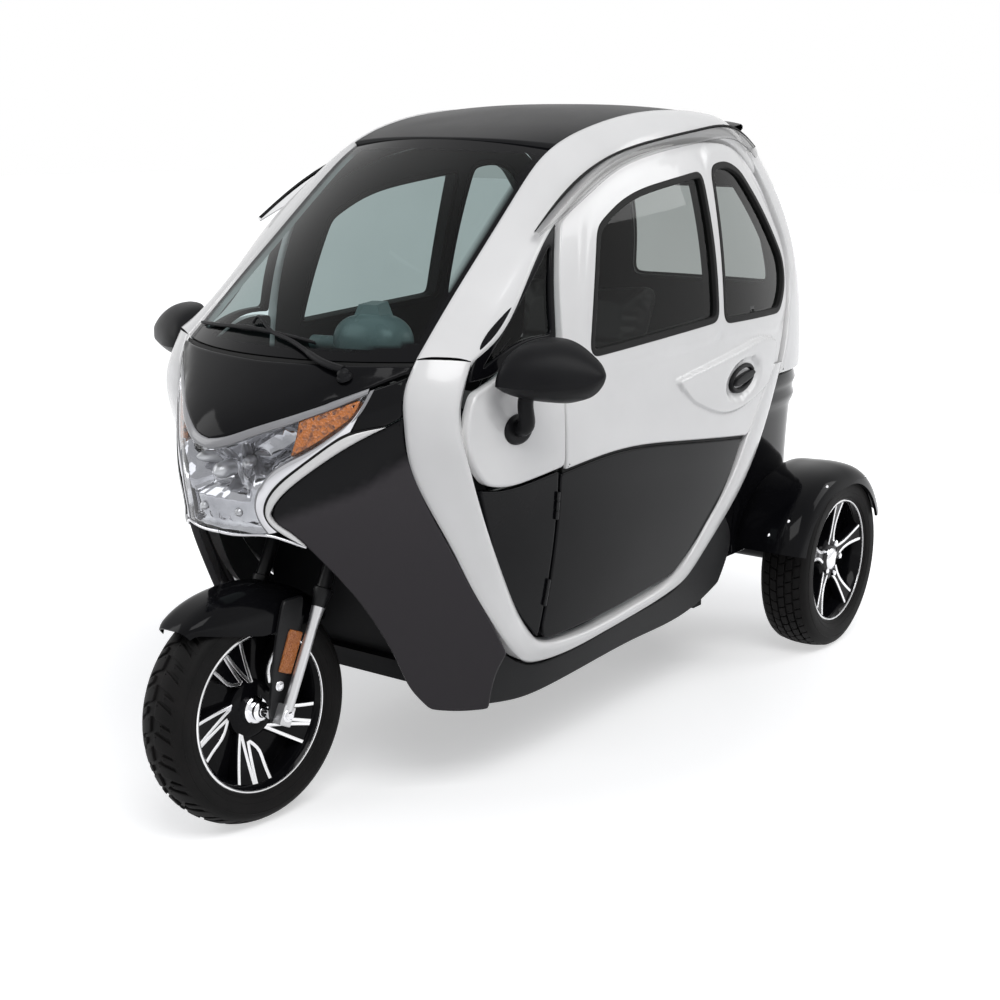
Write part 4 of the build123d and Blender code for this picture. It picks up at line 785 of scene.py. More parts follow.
# Lower loop from the foot of the windscreen round under the door to the tail.
LOOP_FRONT = (
    (305, 166, 947.6, 228, 944.4),
    (300, 140, 900, 198, 896),
    (299, 133, 865, 184, 862),
    (301, 133, 830, 184, 822),
    (305, 140, 764, 204, 762),
    (329, 176, 659, 250, 655),
    (354, 224, 563, 303, 555),
    (368, 268, 480, 356, 470),
    (380, 310, 414, 405, 402),
    (384, 352, 360, 452, 352),
    (382, 400, 316, 500, 316),
)
LOOP_SILL = (
    # outer s, z and inner s, z, both on the side skin
    (476, 274, 548, 302),
    (578, 264, 610, 297),
    (750, 274, 755, 299),
    (926, 288, 905, 312),
    (1040, 303, 1010, 328),
    (1105, 322, 1062, 350),
    (1152, 362, 1105, 385),
    (1205, 412, 1152, 440),
    (1324, 525, 1258, 552),
    (1441, 672, 1352, 688),
    (1540, 800, 1470, 800),
)


def rail_edges():
    rows = np.array(RAIL, float)
    inner = np.column_stack([side_x(rows[:, 3], rows[:, 4]), rows[:, 3:]])
    return run(rows[:, :3], count=150), run(inner, count=150)


def loop_edges():
    front = np.array(LOOP_FRONT, float)
    sill = np.array(LOOP_SILL, float)
    outer = np.vstack([front[:, :3], np.column_stack([side_x(sill[:, 0], sill[:, 1]), sill[:, :2]])])
    flat = np.vstack([front[:, 3:], sill[:, 2:]])
    inner = np.column_stack([side_x(flat[:, 0], flat[:, 1]), flat])
    return run(outer, count=260), run(inner, count=260)


def build_side_frames():
    rail_outer, rail_inner = rail_edges()
    loop_outer, loop_inner = loop_edges()
    middle = np.array([0.0, 1000.0, 700.0])
    rail_out = (rail_outer + rail_inner) / 2 - middle
    loop_out = np.tile([1.0, -0.4, 0.0], (len(loop_outer), 1))
    shape = joined(
        band(rail_outer, rail_inner, rail_out, crown=9, wall=26),
        band(loop_outer, loop_inner, loop_out, crown=7, wall=26),
    )
    lining = joined(
        band_lining(rail_outer, rail_inner, rail_out, 25), band_lining(loop_outer, loop_inner, loop_out, 25),
    )
    fitted("frame_linings", both(lining), TRIM, "chassis", "black_plastic")
    fitted("frame_skin_left", shape, WHITE, "chassis", "white_panels", ["side_frame_left"])
    fitted("frame_skin_right", mirrored(shape), WHITE, "chassis", "white_panels", ["side_frame_right"])


# Doors

STEP_LINE = ((511, 693), (707, 704), (962, 684), (1310, 644))
DOOR_UPPER = (
    STEP_LINE,
    ((1310, 644), (1400, 708), (1500, 785)),
    ((1500, 785), (1590, 935), (1612, 1060)),
    ((1612, 1060), (1550, 1191), (1465, 1281), (1360, 1332), (1212, 1345)),
    ((1212, 1345), (1005, 1334), (818, 1301), (662, 1246), (559, 1191)),
    ((559, 1191), (526, 1078), (516, 965), (515, 830), (515, 693)),
    ((515, 693), (511, 693)),
)
DOOR_LOWER = (
    ((503, 684), (707, 697), (962, 677), (1304, 637)),
    ((1304, 637), (1290, 632)),
    ((1290, 632), (1234, 535), (1150, 432), (1040, 345)),
    ((1040, 345), (800, 322), (560, 313)),
    ((560, 313), (517, 322), (503, 350)),
    ((503, 350), (503, 684)),
)
MAIN_WINDOW = (
    ((606, 922), (640, 1050), (680, 1172)),
    ((680, 1172), (780, 1217), (957, 1252), (1150, 1274)),
    ((1150, 1274), (1150, 1110), (1140, 946)),
    ((1140, 946), (837, 932), (606, 922)),
)
REAR_PANE = (
    ((1180, 938), (1196, 1120), (1212, 1284)),
    ((1212, 1284), (1310, 1290), (1372, 1270)),
    ((1372, 1270), (1473, 1179), (1578, 1060)),
    ((1578, 1060), (1582, 1010), (1518, 932)),
    ((1518, 932), (1180, 938)),
)
GRIP_PAD = (
    ((936, 824), (1160, 852), (1383, 880)),
    ((1383, 880), (1474, 866)),
    ((1474, 866), (1452, 780), (1352, 736)),
    ((1352, 736), (1178, 718), (1013, 768)),
    ((1013, 768), (936, 824)),
)
HANDLE = (1272, 791)
HANDLE_TILT = 9
HANDLE_DISH = (92, 46)


def door_windows():
    return [outline(*edge, corner=26) for edge in (MAIN_WINDOW, REAR_PANE)]


def door_guides():
    """Rows of points along the slopes of the pad and the dish, so that their edges come out clean."""
    loop = outline(*GRIP_PAD, step=6, corner=20)
    dish = ellipse(HANDLE, *HANDLE_DISH, HANDLE_TILT)
    rows = [grown(loop, d) for d in (-10, -6.5, -3.2, 0, 3.2, 6.5, 10)]
    return [resampled(row, 6) for row in rows] + [resampled(grown(dish, d), 7) for d in (-13, -6, 0, 6, 13)]


def door_form(p):
    """Relief of the white half: a pad round the handle with a dish in it, and a belt below the glass."""
    loop = outline(*GRIP_PAD, step=10, corner=20)
    crest = 6.0 + 8.0 * smoothstep((p[:, 1] - 770) / 90)
    lift = pad(p, loop, 1.0, 13.0) * crest
    dish = ellipse(HANDLE, *HANDLE_DISH, HANDLE_TILT)
    lift -= pad(p, dish, 12.0, 26.0)
    glass = np.minimum(*[
        np.where(within(p, grown(w, 34)), 0.0, nearest(p, grown(w, 34)))
        for w in door_windows()
    ])
    return lift + 5.0 * smoothstep(1 - glass / 26)


def build_door(name, flip):
    turn = mirrored if flip else (lambda shape: shape)
    windows = door_windows()
    upper = panel(outline(*DOOR_UPPER, corner=9), on_side(0.0, door_form), windows, step=10, bevel=4, wall=26,
                  guides=door_guides())
    fitted(f"{name}_skin_upper", turn(upper), WHITE, name, "white_panels", [f"{name}_upper"])
    lower = panel(outline(*DOOR_LOWER, corner=9), on_side(-6.0), step=16, bevel=3, wall=20)
    fitted(f"{name}_skin_lower", turn(lower), BLACK, name, "black_panels", [f"{name}_lower"])
    seals = joined(*[
        panel(grown(w, 9), on_side(6.5), [grown(w, -6)], step=30, bevel=2.5, wall=34) for w in windows
    ], panel(strip(run(STEP_LINE, 8), 20), on_side(-9.0), step=20, bevel=1, wall=8))
    openings = [grown(w, -4) for w in windows]
    card = joined(
        sheet(outline(*DOOR_UPPER, corner=9), on_side(0.0), 25, 30, openings, inward=True),
        sheet(outline(*DOOR_LOWER, corner=9), on_side(-6.0), 19, 30, inward=True),
    )
    fitted(f"{name}_card", turn(card), TRIM, name, "black_plastic")
    fitted(f"{name}_seals", turn(seals), RUBBER, name, "black_plastic")
    panes = joined(*[sheet(grown(w, -3), on_side(0.0), 3.0) for w in windows])
    fitted(f"{name}_panes", turn(panes), TINTED, name, "tinted_glass", [f"{name}_glass"])
    build_handle(name, turn)


HINGE_STATION = 493
HINGE_SPANS = ((400, 460), (590, 650))


def build_hinges():
    """Slim barrels in the shut line, each with three knuckles."""
    barrels = []
    for low, high in HINGE_SPANS:
        rows = []
        for knuckle in range(3):
            start = low + (high - low) * knuckle / 3
            end = low + (high - low) * (knuckle + 1) / 3 - 1.5
            rows += [(start, 3.0), (start + 0.8, 4.2), (end - 0.8, 4.2), (end, 3.0)]
        heights = np.array([z for z, _ in rows], float)
        stations = np.full(len(rows), float(HINGE_STATION))
        path = np.column_stack([side_x(stations, heights) - 3.0, stations, heights])
        barrels.append(closed(tube(path, [r for _, r in rows], 16)))
    shape = both(joined(*barrels))
    fitted("hinge_barrels", shape, STEEL, "chassis", "black_steel", ["door_hinge_pins"], sharp=40)


def build_handle(name, turn):
    cup = panel(ellipse(HANDLE, 68, 33, HANDLE_TILT), on_side(4.0), [ellipse(HANDLE, 54, 21, HANDLE_TILT)],
                step=12, bevel=5, wall=14)
    floor = sheet(ellipse(HANDLE, 58, 25, HANDLE_TILT), on_side(-8.0), 0.0, 14)
    grip = panel(ellipse(HANDLE, 60, 11, HANDLE_TILT), on_side(10.0), step=8, bevel=4, wall=16)
    fitted(f"{name}_grip", turn(joined(cup, floor, grip)), SATIN, name, "black_plastic", [f"{name}_handle"])


# Fixed quarter panels

QUARTER_WHITE = (
    ((508, 701), (400, 690), (300, 690), (262, 700)),
    ((262, 700), (216, 760), (208, 830), (232, 884)),
    ((232, 884), (306, 908), (398, 950), (508, 953)),
    ((508, 953), (508, 701)),
)
QUARTER_BLACK = (
    ((496, 692), (400, 682), (300, 682), (252, 690)),
    ((252, 690), (318, 534), (410, 404), (496, 326)),
    ((496, 326), (496, 692)),
)
QUARTER_FRAME = (
    ((222, 906), (238, 938), (390, 1054), (520, 1176), (545, 1192)),
    ((545, 1192), (512, 1078), (498, 962)),
    ((498, 962), (398, 958), (306, 916), (222, 906)),
)
QUARTER_PANE = (
    ((262, 926), (391, 1036), (516, 1148)),
    ((516, 1148), (490, 1060), (482, 974)),
    ((482, 974), (396, 970), (262, 926)),
)


def build_quarters():
    white = panel(outline(*QUARTER_WHITE, corner=16), on_side(2.0), step=14, bevel=6, wall=20)
    fitted("quarter_skins", both(white), WHITE, "chassis", "white_panels", ["quarter_panels"])
    lining = joined(
        sheet(outline(*QUARTER_WHITE, corner=16), on_side(2.0), 19, 30, inward=True),
        sheet(outline(*QUARTER_BLACK, corner=8), on_side(-6.0), 17, 30, inward=True),
    )
    fitted("quarter_linings", both(lining), TRIM, "chassis", "black_plastic")
    black = panel(outline(*QUARTER_BLACK, corner=8), on_side(-6.0), step=16, bevel=3, wall=18)
    fitted("quarter_skirt_skins", both(black), BLACK, "chassis", "black_panels", ["quarter_skirts"])
    pane = outline(*QUARTER_PANE, corner=12)
    rim = panel(outline(*QUARTER_FRAME, corner=8), on_side(-3.0), [pane], step=14, bevel=3, wall=14)
    fitted("quarter_surrounds", both(rim), BLACK, "chassis", "black_plastic")
    glass = sheet(grown(pane, 4), on_side(-3.0), 5.0)
    fitted("quarter_panes", both(glass), TINTED, "chassis", "tinted_glass", ["quarter_glass"])


# Nose

BONNET_EDGE = ((0, 799), (27, 803), (79, 822), (134, 844), (194, 871), (248, 897))
LENS_EDGE = (
    (0, 616), (60, 617), (103, 620), (94, 644), (91, 676), (99, 708), (119, 741), (142, 761), (175, 783),
    (204, 809), (233, 843), (250, 892),
)


def mirrored_loop(half):
    """Closed outline from its right half, which runs from the middle to the middle."""
    half = np.asarray(half, float)
    return np.vstack([half, half[::-1][1:-1] * (-1, 1)])


def mirrored_points(*runs, step=8):
    """Closed outline of a symmetrical piece from the runs of its right half."""
    half = np.vstack([run(r, step)[:-1] for r in runs] + [np.array([runs[-1][-1]], float)])
    return mirrored_loop(half)


def build_bonnet():
    edge = resampled(mirrored_points(
        BONNET_EDGE, (BONNET_EDGE[-1], (276, 912), (302, 925)), ((302, 925), (303, 938)),
        ((303, 938), (200, 937), (0, 934)),
    ), 8)
    hood = panel(edge, on_nose(2.0), step=16, bevel=4, wall=16)
    fitted("bonnet_skin", hood, BLACK, "chassis", "black_panels", ["nose_panel"])


FAIRING = (
    ((300, 842), (276, 824), (242, 803), (202, 770), (164, 733), (131, 695), (116, 668), (113, 652)),
    ((113, 652), (120, 640), (138, 624), (158, 594)),
    ((158, 594), (193, 520), (215, 452), (229, 381), (236, 313), (240, 259), (256, 205)),
    ((256, 205), (290, 196), (336, 196)),
    ((336, 196), (372, 300), (388, 330)),
    ((388, 330), (379, 414), (366, 490), (352, 563), (328, 659), (304, 764)),
    ((304, 764), (299, 800), (300, 842)),
)
CREASE = ((113, 640), (198, 682), (253, 715), (290, 751), (312, 768))


def fairing_form(p):
    """Slight step along the crease that runs up from the lamp to the frame."""
    crease = through(*zip(*CREASE), p[:, 0])
    return -5.0 * smoothstep((p[:, 1] - crease) / 40 + 0.5)


def build_fairings():
    skin_panel = panel(outline(*FAIRING, corner=8), on_nose(0.0, fairing_form), step=14, bevel=3, wall=14)
    beside_lamp = panel(outline(
        ((249, 893), (276, 905), (300, 917)), ((300, 917), (297, 880), (298, 842)),
        ((298, 842), (274, 825)), ((274, 825), (250, 819), (228, 811)), ((228, 811), (238, 846), (249, 893)),
        corner=2,
    ), on_nose(-1.0), step=14, bevel=2, wall=14)
    shape = both(joined(skin_panel, beside_lamp))
    obj = fitted("fairing_skins", shape, PAINTED_REFLECTION_BLACK, "chassis", "black_panels", ["front_fairings"])
    # Painted reflection: the skin below the crease is marked for a lighter colour, standing in for the floor
    # mirrored in it.
    place = vertex_table(obj.data) / MM
    crease = through(*zip(*CREASE), np.abs(place[:, 0]))
    layer = obj.data.attributes.new("painted_reflection", "FLOAT", "POINT")
    layer.data.foreach_set("value", smoothstep((crease - place[:, 2]) / 28 + 0.5))


SKIRT = (
    ((366, 330), (400, 308), (476, 268), (578, 258), (926, 282), (1105, 316), (1196, 402), (1250, 452)),
    ((1250, 452), (1330, 360), (1318, 256)),
    ((1318, 256), (1219, 222), (928, 206), (594, 191), (485, 189), (366, 206)),
    ((366, 206), (366, 330)),
)


def build_skirts():
    shape = panel(outline(*SKIRT, corner=6), on_side(-3.0), step=18, bevel=3, wall=16)
    fitted("skirt_skins", both(shape), SATIN, "chassis", "black_plastic", ["sill_skirts"])


# Glass and roof

SCREEN_MIDDLE = ((78, 940), (222, 1052), (358, 1156), (500, 1262), (632, 1350))
SCREEN_ROWS = 60
SCREEN_FOOT = 168
SCREEN_CLIMB = 660
SCREEN_TUCK = 7
ROOF_FRONT = 632
ROOF_BOW = 44
ROOF_REAR = 1560
ROOF_CREST = (1150, 1430)
ROOF_RADIUS = 1700
CABIN_MIDDLE = (0, 1000, 800)


def rail_at(s):
    """Outer edge of the roof rail at a station: half width and height."""
    outer, _ = rail_edges()
    order = np.argsort(outer[:, 1])
    return np.interp(s, outer[order, 1], outer[order, 0]), np.interp(s, outer[order, 1], outer[order, 2])


def build_cowl(foot):
    """Dark strip that closes the slot between the bonnet and the foot of the windscreen."""
    x = np.clip(foot[:, 0], -300, 300)
    rim = np.column_stack([x, np.interp(np.abs(x), (0, 200, 303), (933, 936, 937))])
    rows = [
        on_nose()(rim - (0, 12), 9.0), on_nose()(rim, 4.0),
        foot + (0, -5, -2), foot + (0, 3, -7), foot + (0, 16, 2),
    ]
    shape = outwards(grid(np.array(rows)), CABIN_MIDDLE)
    fitted("screen_cowl", shape, RUBBER, "chassis", "black_plastic", sharp=40)


WIPER_ARM = (
    (203, 74, 931), (150, 76, 940), (99, 89, 954), (39, 104, 971), (-39, 125, 989), (-86, 144, 1000),
    (-92, 142, 990),
)
WIPER_BLADE = ((-280, 182, 974), (-180, 145, 979), (-92, 126, 982), (14, 114, 978), (98, 112, 970))
WIPER_FOOT = (203, 78, 914)


def build_wiper():
    """Arm with its knuckle on the bonnet, and the blade on the glass."""
    t = np.linspace(0, 1, 60)
    taper = np.interp(t, (0, 0.06, 0.3, 0.34, 0.9, 1), (8, 8, 7, 5, 3.6, 3.2))
    arm = tube(run(WIPER_ARM, count=60), taper, 12)
    line = run(WIPER_BLADE, count=60)
    spine = tube(line, np.interp(t, (0, 0.03, 0.4, 0.5, 0.6, 0.97, 1), (2, 3.6, 4.4, 6.5, 4.4, 3.6, 2)), 10)
    lip = tube(line + (0, 4.0, -3.5), 1.6, 6)
    foot = np.array(WIPER_FOOT, float)
    rise = np.linspace(0, 22, 12)[:, None] * np.array([0.0, -0.42, 0.9])
    knuckle = tube(foot + rise, np.array([15, 15, 15, 14.5, 12.5, 12, 12, 11.6, 10.6, 8.6, 5.4, 0.6]), 28)
    shape = joined(arm, spine, lip, knuckle)
    fitted("wiper_arm", shape, SATIN, "chassis", "black_plastic", ["wiper"], sharp=45)


def build_windscreen():
    u = np.linspace(-1, 1, 72)
    share = np.abs(u) ** 2.2
    middle = run(SCREEN_MIDDLE, count=SCREEN_ROWS)
    s_edge = np.linspace(SCREEN_FOOT, ROOF_FRONT + ROOF_BOW, SCREEN_ROWS)
    x_edge, z_edge = rail_at(s_edge)
    points = np.empty((SCREEN_ROWS, len(u), 3))
    points[..., 0] = (x_edge[:, None] + 2) * u
    points[..., 1] = middle[:, :1] * (1 - share) + (s_edge[:, None] + SCREEN_TUCK) * share
    points[..., 2] = middle[:, 1:] * (1 - share) + (z_edge[:, None] - SCREEN_TUCK) * share
    shape = outwards(grid(points), CABIN_MIDDLE)
    obj = fitted("windscreen_pane", shape, SCREEN_GLASS, "chassis", "tinted_glass", ["windscreen"])
    build_cowl(points[0])
    climb = np.linspace(0, 1, SCREEN_ROWS)[:, None] * SCREEN_CLIMB
    from_side = (1 - np.abs(u))[None, :] * x_edge[:, None]
    foot = climb - 30 - 40 * np.abs(u[None, :]) ** 6
    near = np.minimum(np.minimum(from_side - 24, foot), SCREEN_CLIMB - climb - 40)
    dark = 1 - smoothstep(near / 5 + 0.5)
    layer = obj.data.attributes.new("band", "FLOAT", "POINT")
    layer.data.foreach_set("value", dark.reshape(-1))


def build_roof():
    u = np.linspace(-1, 1, 48)
    base = np.linspace(ROOF_FRONT, ROOF_REAR, 70)
    s = base[:, None] + ROOF_BOW * np.abs(u) ** 2.2 * ((ROOF_REAR - base) / (ROOF_REAR - ROOF_FRONT))[:, None]
    x_edge, z_edge = rail_at(s[:, 0])
    crest = np.maximum(ROOF_CREST[1] - (base - ROOF_CREST[0]) ** 2 / (2 * ROOF_RADIUS), z_edge + 4)
    points = np.empty((len(base), len(u), 3))
    points[..., 0] = (x_edge[:, None] + 3) * u
    points[..., 1] = s
    points[..., 2] = z_edge[:, None] - 3 + (crest - z_edge + 3)[:, None] * (1 - np.abs(u) ** 2.6)
    lip = points[0] + (0, 6, -14)
    shape = outwards(grid(np.concatenate([lip[None], points])), CABIN_MIDDLE)
    fitted("roof_skin", shape, SATIN, "chassis", "black_plastic", ["roof_panel"])


# Tail

TAIL_START = 1400
TAIL_ROUND = 3.35
TAIL_ARC = 700
TAIL_HEIGHTS = (300, 480, 742, 930, 1080, 1230, 1385)
TAIL_END = (1832, 1846, 1850, 1866, 1842, 1752, 1575)


def tail_form(p, half, end, corner):
    """Rounded plan of the tail from (arc, z): half width, end station and how square its corners are."""
    a = p[:, 0] / TAIL_ARC * math.pi / 2
    c, s = np.cos(a), np.sin(a)
    x = half * np.sign(c) * np.abs(c) ** (2 / corner)
    back = TAIL_START + (end - TAIL_START) * np.sign(s) * np.abs(s) ** (2 / corner)
    return np.column_stack([x, back, p[:, 1]])


def on_tail(proud=0.0):
    """Tail skin from (arc, z): arc 0 at the side, TAIL_ARC at the middle of the back."""
    def surface(p):
        half = side_x(np.full(len(p), TAIL_START), p[:, 1]) - 10 + proud
        return tail_form(p, half, through(TAIL_HEIGHTS, TAIL_END, p[:, 1]) + proud, TAIL_ROUND)
    return skin(surface, (0, 1, 0))


def tail_arc(s, z, corner):
    """Arc value of a station on the tail's side at a height."""
    end = through(TAIL_HEIGHTS, TAIL_END, z)
    share = np.clip((np.asarray(s, float) - TAIL_START) / (end - TAIL_START), 0, 1)
    return np.arcsin(share ** (corner / 2)) / (math.pi / 2) * TAIL_ARC


def tail_points(points, corner=TAIL_ROUND):
    points = np.asarray(points, float)
    return np.column_stack([tail_arc(points[:, 0], points[:, 1], corner), points[:, 1]])


def tail_window(half, low, high, corner):
    """Rounded opening at the middle of the back."""
    return outline(
        ((TAIL_ARC - half, low), (TAIL_ARC + half, low)),
        ((TAIL_ARC + half, low), (TAIL_ARC + half * 0.9, high)),
        ((TAIL_ARC + half * 0.9, high), (TAIL_ARC - half * 0.9, high)),
        ((TAIL_ARC - half * 0.9, high), (TAIL_ARC - half, low)), corner=corner,
    )


TAIL_FRONT = (
    (1520, 770), (1570, 850), (1604, 950), (1624, 1062), (1600, 1130), (1562, 1200), (1520, 1262),
    (1478, 1318),
)
TAIL_TOP = 1376
TAIL_LAMP = ((438, 774), (529, 866))


def tail_top(front):
    """Top edge of the tail, which rises under the roof from the sides to the middle."""
    arc = np.linspace(front[-1, 0], 2 * TAIL_ARC - front[-1, 0], 90)[1:-1]
    share = np.abs(np.cos(arc / TAIL_ARC * math.pi / 2)) / math.cos(front[-1, 0] / TAIL_ARC * math.pi / 2)
    return np.column_stack([arc, front[-1, 1] + (TAIL_TOP - front[-1, 1]) * (1 - share**6)])


def build_tail_lamps():
    """Ribbed red lenses in dark frames at the corners of the tail."""
    (_, z0), (_, z1) = TAIL_LAMP
    loop = boxed(*TAIL_LAMP, step=5, corner=16)

    def ribbed(p):
        return on_tail(1.0 + 2.0 * np.abs(np.sin((p[:, 1] - z0) / (z1 - z0) * 5 * math.pi)))(p)
    lens = panel(grown(loop, -5), skin(ribbed, (0, 1, 0)), step=5, bevel=2, wall=9)
    fitted("tail_lamp_lenses", both(lens), RED, "chassis", "red_lens", ["tail_lamps"])
    rim = panel(grown(loop, 2), on_tail(3.0), [grown(loop, -6)], step=12, bevel=2, wall=12)
    fitted("tail_lamp_rims", both(rim), RUBBER, "chassis", "black_plastic")


def round_the_back(front, top):
    """Outline from the front edge on the left, along the top, to the front edge on the right."""
    far = front[::-1] * (-1, 1) + (2 * TAIL_ARC, 0)
    return anticlockwise(resampled(np.vstack([front, top, far]), 9))


def build_tail():
    front = run(tail_points(TAIL_FRONT), 8)
    edge = round_the_back(front, tail_top(front))
    window = tail_window(170, 965, 1235, 40)
    upper = panel(edge, on_tail(), [window], step=18, bevel=4, wall=20)
    fitted("tail_skin", upper, WHITE, "chassis", "white_panels", ["tail_upper"])
    lining = sheet(edge, on_tail(), 19, 30, [grown(window, 4)], inward=True)
    fitted("tail_lining", lining, TRIM, "chassis", "black_plastic")
    pane = sheet(grown(window, 3), on_tail(), 4.0)
    fitted("rear_pane", pane, TINTED, "chassis", "tinted_glass", ["rear_window"])
    seal = panel(grown(window, 8), on_tail(1.0), [grown(window, -6)], step=30, bevel=2.5, wall=10)
    fitted("rear_pane_seal", seal, RUBBER, "chassis", "black_plastic")
    build_tail_lamps()


# Wheels, drawn round their own centres in frame axes

FRONT_TYRE_R = 235
FRONT_PITCHES = 24
REAR_PITCHES = 48
RIM_R = 166
FACE_R = 157
FRONT_SIDE = ((40, 159), (49, 166), (55, 176), (58, 190), (58.5, 200), (56, 211), (50, 219), (42, 223))
REAR_SIDE = ((46, 159), (57, 167), (64, 178), (67, 192), (67.5, 205), (65, 219), (60, 229), (52, 234))
# Silver edges of one group of front spokes, across and outwards in shares of the rim face.
FRONT_SPOKES = (
    ((0.215, 0.27), (0.30, 0.62), (0.375, 0.93)),
    ((0.20, 0.27), (0.155, 0.62), (0.118, 0.99)),
    ((0.10, 0.40), (0.09, 0.70), (0.082, 0.99)),
    ((0.09, 0.40), (-0.055, 0.56), (-0.10, 0.74), (-0.155, 0.98)),
)
FRONT_SPOKE_BODY = (
    (0.12, 0.22), (0.05, 0.36), (-0.085, 0.54), (-0.13, 0.74), (-0.185, 1.02), (0.06, 1.03), (0.405, 0.96),
    (0.32, 0.56), (0.25, 0.22),
)
FRONT_SPOKE_TURN = 35.3
REAR_SPOKES = (
    ((-0.10, 0.27), (-0.062, 0.45), (-0.075, 0.72), (-0.135, 1.0)),
    ((0.10, 0.27), (0.062, 0.45), (0.075, 0.72), (0.135, 1.0)),
)
REAR_SPOKE_BODY = (
    (-0.17, 0.24), (-0.10, 0.45), (-0.115, 0.74), (-0.19, 1.02), (0.19, 1.02), (0.115, 0.74), (0.10, 0.45),
    (0.17, 0.24),
)


STEER_AT_REST = -5.8


def steered():
    """Where the straight-ahead steering group stands at rest."""
    joint = JOINTS["steering_turn"]
    pivot = Matrix.Translation(Vector(joint["pos_m"]) / MM)
    turn = Matrix.Rotation(math.radians(STEER_AT_REST), 4, Vector(joint["axis"]))
    return pivot @ turn @ pivot.inverted()


FRONT_HUB = steered() @ Matrix.Translation((0, FRONT_AXLE_Y, FRONT_TYRE_R))
REAR_HUB = Matrix.Translation((REAR_WHEEL_X, REAR_AXLE_Y, REAR_TYRE_R))


def crown(w, radius, half, drop):
    return radius - drop * (np.abs(w) / half) ** 2.4


def on_tread(radius, half, drop):
    """Tread skin from (arc, across)."""
    def surface(p):
        r = crown(p[:, 1], radius, half, drop)
        a = p[:, 0] / radius
        return np.column_stack([p[:, 1], r * np.cos(a), r * np.sin(a)])
    return skin(surface, (0, 1, 0))


def carcass(side, radius, half, drop):
    """Tyre body: bead to bead, its crown a groove's depth below the tread blocks."""
    side = np.array(side, float)
    across = np.linspace(side[-1, 0] - 5, 0, 7)
    top = np.column_stack([across, crown(across, radius, half, drop)])
    right = np.vstack([side, top])
    left = right[::-1][1:] * (-1, 1)
    return turned(np.vstack([right, left]), 120)


def front_blocks(place, pitch):
    """One pitch of the front tread: a long and a short curved blade each side."""
    long = outline(((-15, 5), (-4, 28), (12, 49)), ((12, 49), (40, 49)), ((40, 49), (25, 28), (17, 5)),
                   ((17, 5), (-15, 5)), step=5, corner=3)
    short = outline(((30, 20), (38, 36), (46, 50)), ((46, 50), (62, 50)), ((62, 50), (52, 36), (44, 20)),
                    ((44, 20), (30, 20)), step=5, corner=3)
    left = [panel(loop, place, step=14, bevel=1.2, wall=8) for loop in (long, short)]
    shift = (pitch / 2, 0)
    turned_loops = [(loop * (1, -1) + shift)[::-1].copy() for loop in (long, short)]
    far = [panel(loop, place, step=14, bevel=1.2, wall=8) for loop in turned_loops]
    return joined(*left, *far)


def rear_blocks(place, pitch):
    """One pitch of the rear tread: five ribs cut by sipes."""
    rows = ((-43, 17, 0.0), (-21.5, 17, 0.5), (0, 17, 0.0), (21.5, 17, 0.5), (43, 17, 0.0))
    blocks = []
    for across, wide, shift in rows:
        lean = 3 if across < 0 else -3
        low, high = across - wide / 2, across + wide / 2
        start = shift * pitch
        end = start + pitch - 3.2
        loop = outline(
            ((start - lean, low), (end - lean, low)), ((end - lean, low), (end + lean, high)),
            ((end + lean, high), (start + lean, high)), ((start + lean, high), (start - lean, low)), step=6,
        )
        blocks.append(panel(loop, place, step=24, bevel=1.0, wall=8))
    return joined(*blocks)


def on_face(centre, rise, back=0.0):
    """Wheel face skin from (across, outwards), dished towards the rim."""
    def surface(p):
        r = np.hypot(p[:, 0], p[:, 1]) / FACE_R
        return np.column_stack([centre + rise * r**2 - back, p[:, 0], p[:, 1]])
    return skin(surface, (1, 0, 0))


def spoke_group(edges, body, centre, rise, width):
    """Silver edges and the black casting under them for one group of spokes."""
    silver = [panel(strip(run(np.array(edge) * FACE_R, count=9), width), on_face(centre + 1.5, rise),
                    step=30, bevel=0.7, wall=4) for edge in edges]
    loop = outline(*[(np.array(body[i]) * FACE_R, np.array(body[(i + 1) % len(body)]) * FACE_R)
                     for i in range(len(body))], step=9, corner=4)
    return joined(*silver), panel(loop, on_face(centre, rise), step=18, bevel=2.5, wall=22)


def barrel(edge, inner):
    """Rim barrel and its two bright lips, from one flange to the other."""
    well = turned(((edge, 161), (edge - 6, 156), (edge - 14, 151), (12, 146), (-12, 146), (14 - inner, 151),
                   (6 - inner, 156), (-inner, 161)), 96)
    lip = ((edge - 7, 157), (edge - 1, 160), (edge, 163.5), (edge - 1.5, RIM_R), (edge - 5, RIM_R - 1))
    lips = joined(turned(lip, 120), turned([(-x - inner + edge, r) for x, r in reversed(lip)], 120))
    return well, lips


